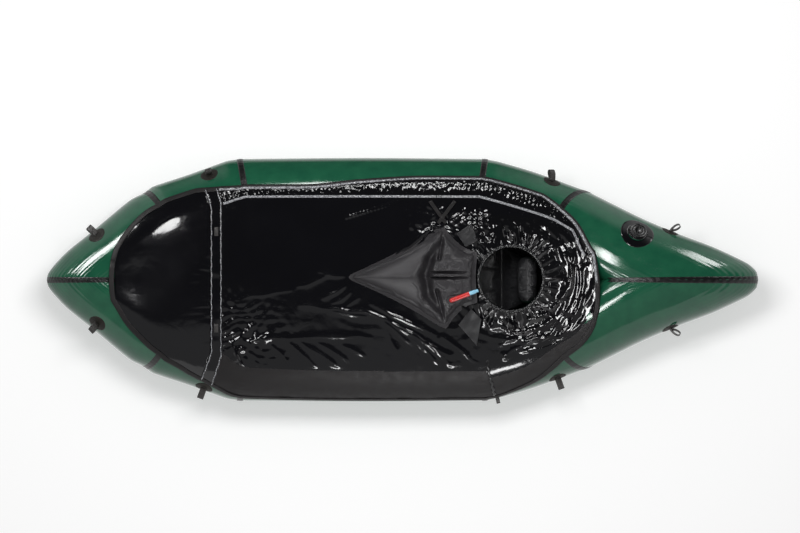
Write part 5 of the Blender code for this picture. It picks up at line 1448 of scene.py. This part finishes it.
card, tree = stage_plane("overhead_card", (3.6, 2.4), (0, 0, 0.98))
spot = add(tree, "ShaderNodeTexCoord")
split = add(tree, "ShaderNodeSeparateXYZ", {"Vector": spot.outputs["Object"]})
glow = add(tree, "ShaderNodeEmission",
           {"Strength": ramp(tree, split.outputs["Y"], -0.03, -0.13, 0.05, 0.46)})
add(tree, "ShaderNodeOutputMaterial", {"Surface": glow.outputs["Emission"]})
card.visible_camera = card.visible_diffuse = card.visible_shadow = False
card.visible_transmission = False

# %% World seen by glossy cloth
world = bpy.data.worlds.new("studio")
scene.world = world
world.use_nodes = True
tree = world.node_tree
tree.nodes.clear()
way = add(tree, "ShaderNodeTexCoord")
axes = add(tree, "ShaderNodeSeparateXYZ", {"Vector": way.outputs["Generated"]})
to_port = ramp(tree, axes.outputs["Y"], 0.35, -0.35, 0.06, 1.25)
downwards = ramp(tree, axes.outputs["Z"], -0.55, -0.85, 0.0, 1.0)
# A pale wall beyond the bow and the stern, low down, as the ends of the tubes show.
far_end = ramp(tree, compute(tree, "ABSOLUTE", axes.outputs["X"]), 0.16, 0.40, 0.0, 1.15)
low_down = ramp(tree, axes.outputs["Z"], 0.66, 0.22, 0.0, 1.0)
wall = compute(tree, "MULTIPLY", far_end, low_down)
brighter = compute(tree, "MAXIMUM", compute(tree, "MAXIMUM", to_port, wall), downwards)
glossy, plain, white = [
    add(tree, "ShaderNodeBackground", {"Color": (1, 1, 1, 1), "Strength": strength})
    for strength in (brighter, 0.42, 1.0)]
ray = add(tree, "ShaderNodeLightPath")
first = add(tree, "ShaderNodeMixShader", {0: ray.outputs["Is Glossy Ray"],
                                          1: plain.outputs[0], 2: glossy.outputs[0]})
second = add(tree, "ShaderNodeMixShader", {0: ray.outputs["Is Camera Ray"],
                                           1: first.outputs[0], 2: white.outputs[0]})
add(tree, "ShaderNodeOutputWorld", {"Surface": second.outputs[0]})

# %% Lamps


def softbox(name, place, target, size, radiance, glossy_only=False, shape="RECTANGLE", roll=0.0):
    """A flat lamp of an even brightness; a glossy one shows only in reflections."""
    lamp = bpy.data.lights.new(name, "AREA")
    lamp.shape = shape
    lamp.size, lamp.size_y = size
    area = size[0] * size[1] * (pi / 4 if shape == "ELLIPSE" else 1)
    lamp.energy = radiance * area * pi
    item = bpy.data.objects.new(name, lamp)
    bpy.context.collection.objects.link(item)
    aim = (Vector(target) - Vector(place)).to_track_quat("-Z", "Y")
    item.rotation_euler = (aim.to_matrix() @ Matrix.Rotation(radians(roll), 3, "Z")).to_euler()
    item.location = place
    item.visible_camera = False
    if glossy_only:
        item.visible_diffuse = item.visible_transmission = False
    else:
        item.visible_glossy = False
    return item


softbox("key", (-0.2, 1.1, 3.8), (0, 0, 0), (2.0, 1.0), 13.0)


def find_spot(side, first, last, x, y):
    """Where on the skin a place in plan lies: the point, its normal and the tube's direction."""
    station, turn = np.meshgrid(np.linspace(first, last, 161), np.linspace(0, 180, 181),
                                indexing="ij")
    points = skin(side, station, turn)
    index = np.argmin(np.hypot(points[..., 0] - x, points[..., 1] - y))
    place = skin_frame(side, station.flat[index], turn.flat[index])
    return Vector(points.reshape(-1, 3)[index]), place.col[2].xyz, place.col[0].xyz


def mirrored_lamp(name, spot, normal, along, distance, size, radiance):
    """A lamp that the camera above sees mirrored at a spot, stretched along a direction."""
    ray_out = Vector((0, 0, -1)) + normal * 2 * normal.z
    x_axis = (along - ray_out * along.dot(ray_out)).normalized()
    turn = Matrix((x_axis, ray_out.cross(x_axis), ray_out)).transposed()
    item = softbox(name, (0, 0, 1), (0, 0, 0), size, radiance, glossy_only=True,
                   shape="ELLIPSE")
    item.rotation_euler = turn.to_euler()
    item.location = spot + Vector(SHIFT) + ray_out * distance
    return item


mirrored_lamp("bow_streak", *find_spot(1, 0.02, 0.9, -1.165, 0.088), 0.62, (0.42, 0.19), 32.0)
mirrored_lamp("stern_streak", *find_spot(1, 4.4, 4.99, 1.150, 0.060), 1.6, (0.32, 0.60), 16.0)
mirrored_lamp("stern_blob", *find_spot(1, 4.02, 4.6, 0.774, 0.091), 0.45, (0.07, 0.28), 34.0)
nearest = np.argmin(np.hypot(bow_grid[..., 0] + 0.885, bow_grid[..., 1] - 0.215))
shown = grid_normals(bow_grid).reshape(-1, 3)[nearest]
mirrored_lamp("bow_deck_light", Vector(bow_grid.reshape(-1, 3)[nearest]),
              Vector(shown * np.sign(shown[2])), Vector((0.85, 0.5, 0)), 0.6, (0.14, 0.16), 26.0)
for index, (lamp_x, lamp_y) in enumerate(((0.18, 0.80), (-0.42, 0.80), (-0.12, -0.82),
                                          (0.36, -0.80))):
    softbox(f"sparkle_{index}", (lamp_x, lamp_y, 0.93), (0.1, 0, 0.25), (0.46, 0.12), 26.0,
            glossy_only=True)
print("lamps:", len(bpy.data.lights))

# %% [markdown]
# # The camera looks straight down from high up. All sides look the same size in the
# # photograph, so the camera is a parallel one, as with a very long lens. The view is set to
# # show colours plainly, as they are written.

# %% Camera and view
camera_data = bpy.data.cameras.new("camera")
camera_data.type = "ORTHO"
camera_data.ortho_scale = 3.0418
camera = bpy.data.objects.new("camera", camera_data)
camera.location = (-0.00996, 0.0554, 8.0)
bpy.context.collection.objects.link(camera)
scene.camera = camera
scene.view_settings.view_transform = "Standard"

# %% [markdown]
# Last, the size of the dressed boat is printed.

# %% Sizes and finish
low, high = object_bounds()
print("dressed boat from", [round(v, 3) for v in low], "to", [round(v, 3) for v in high])
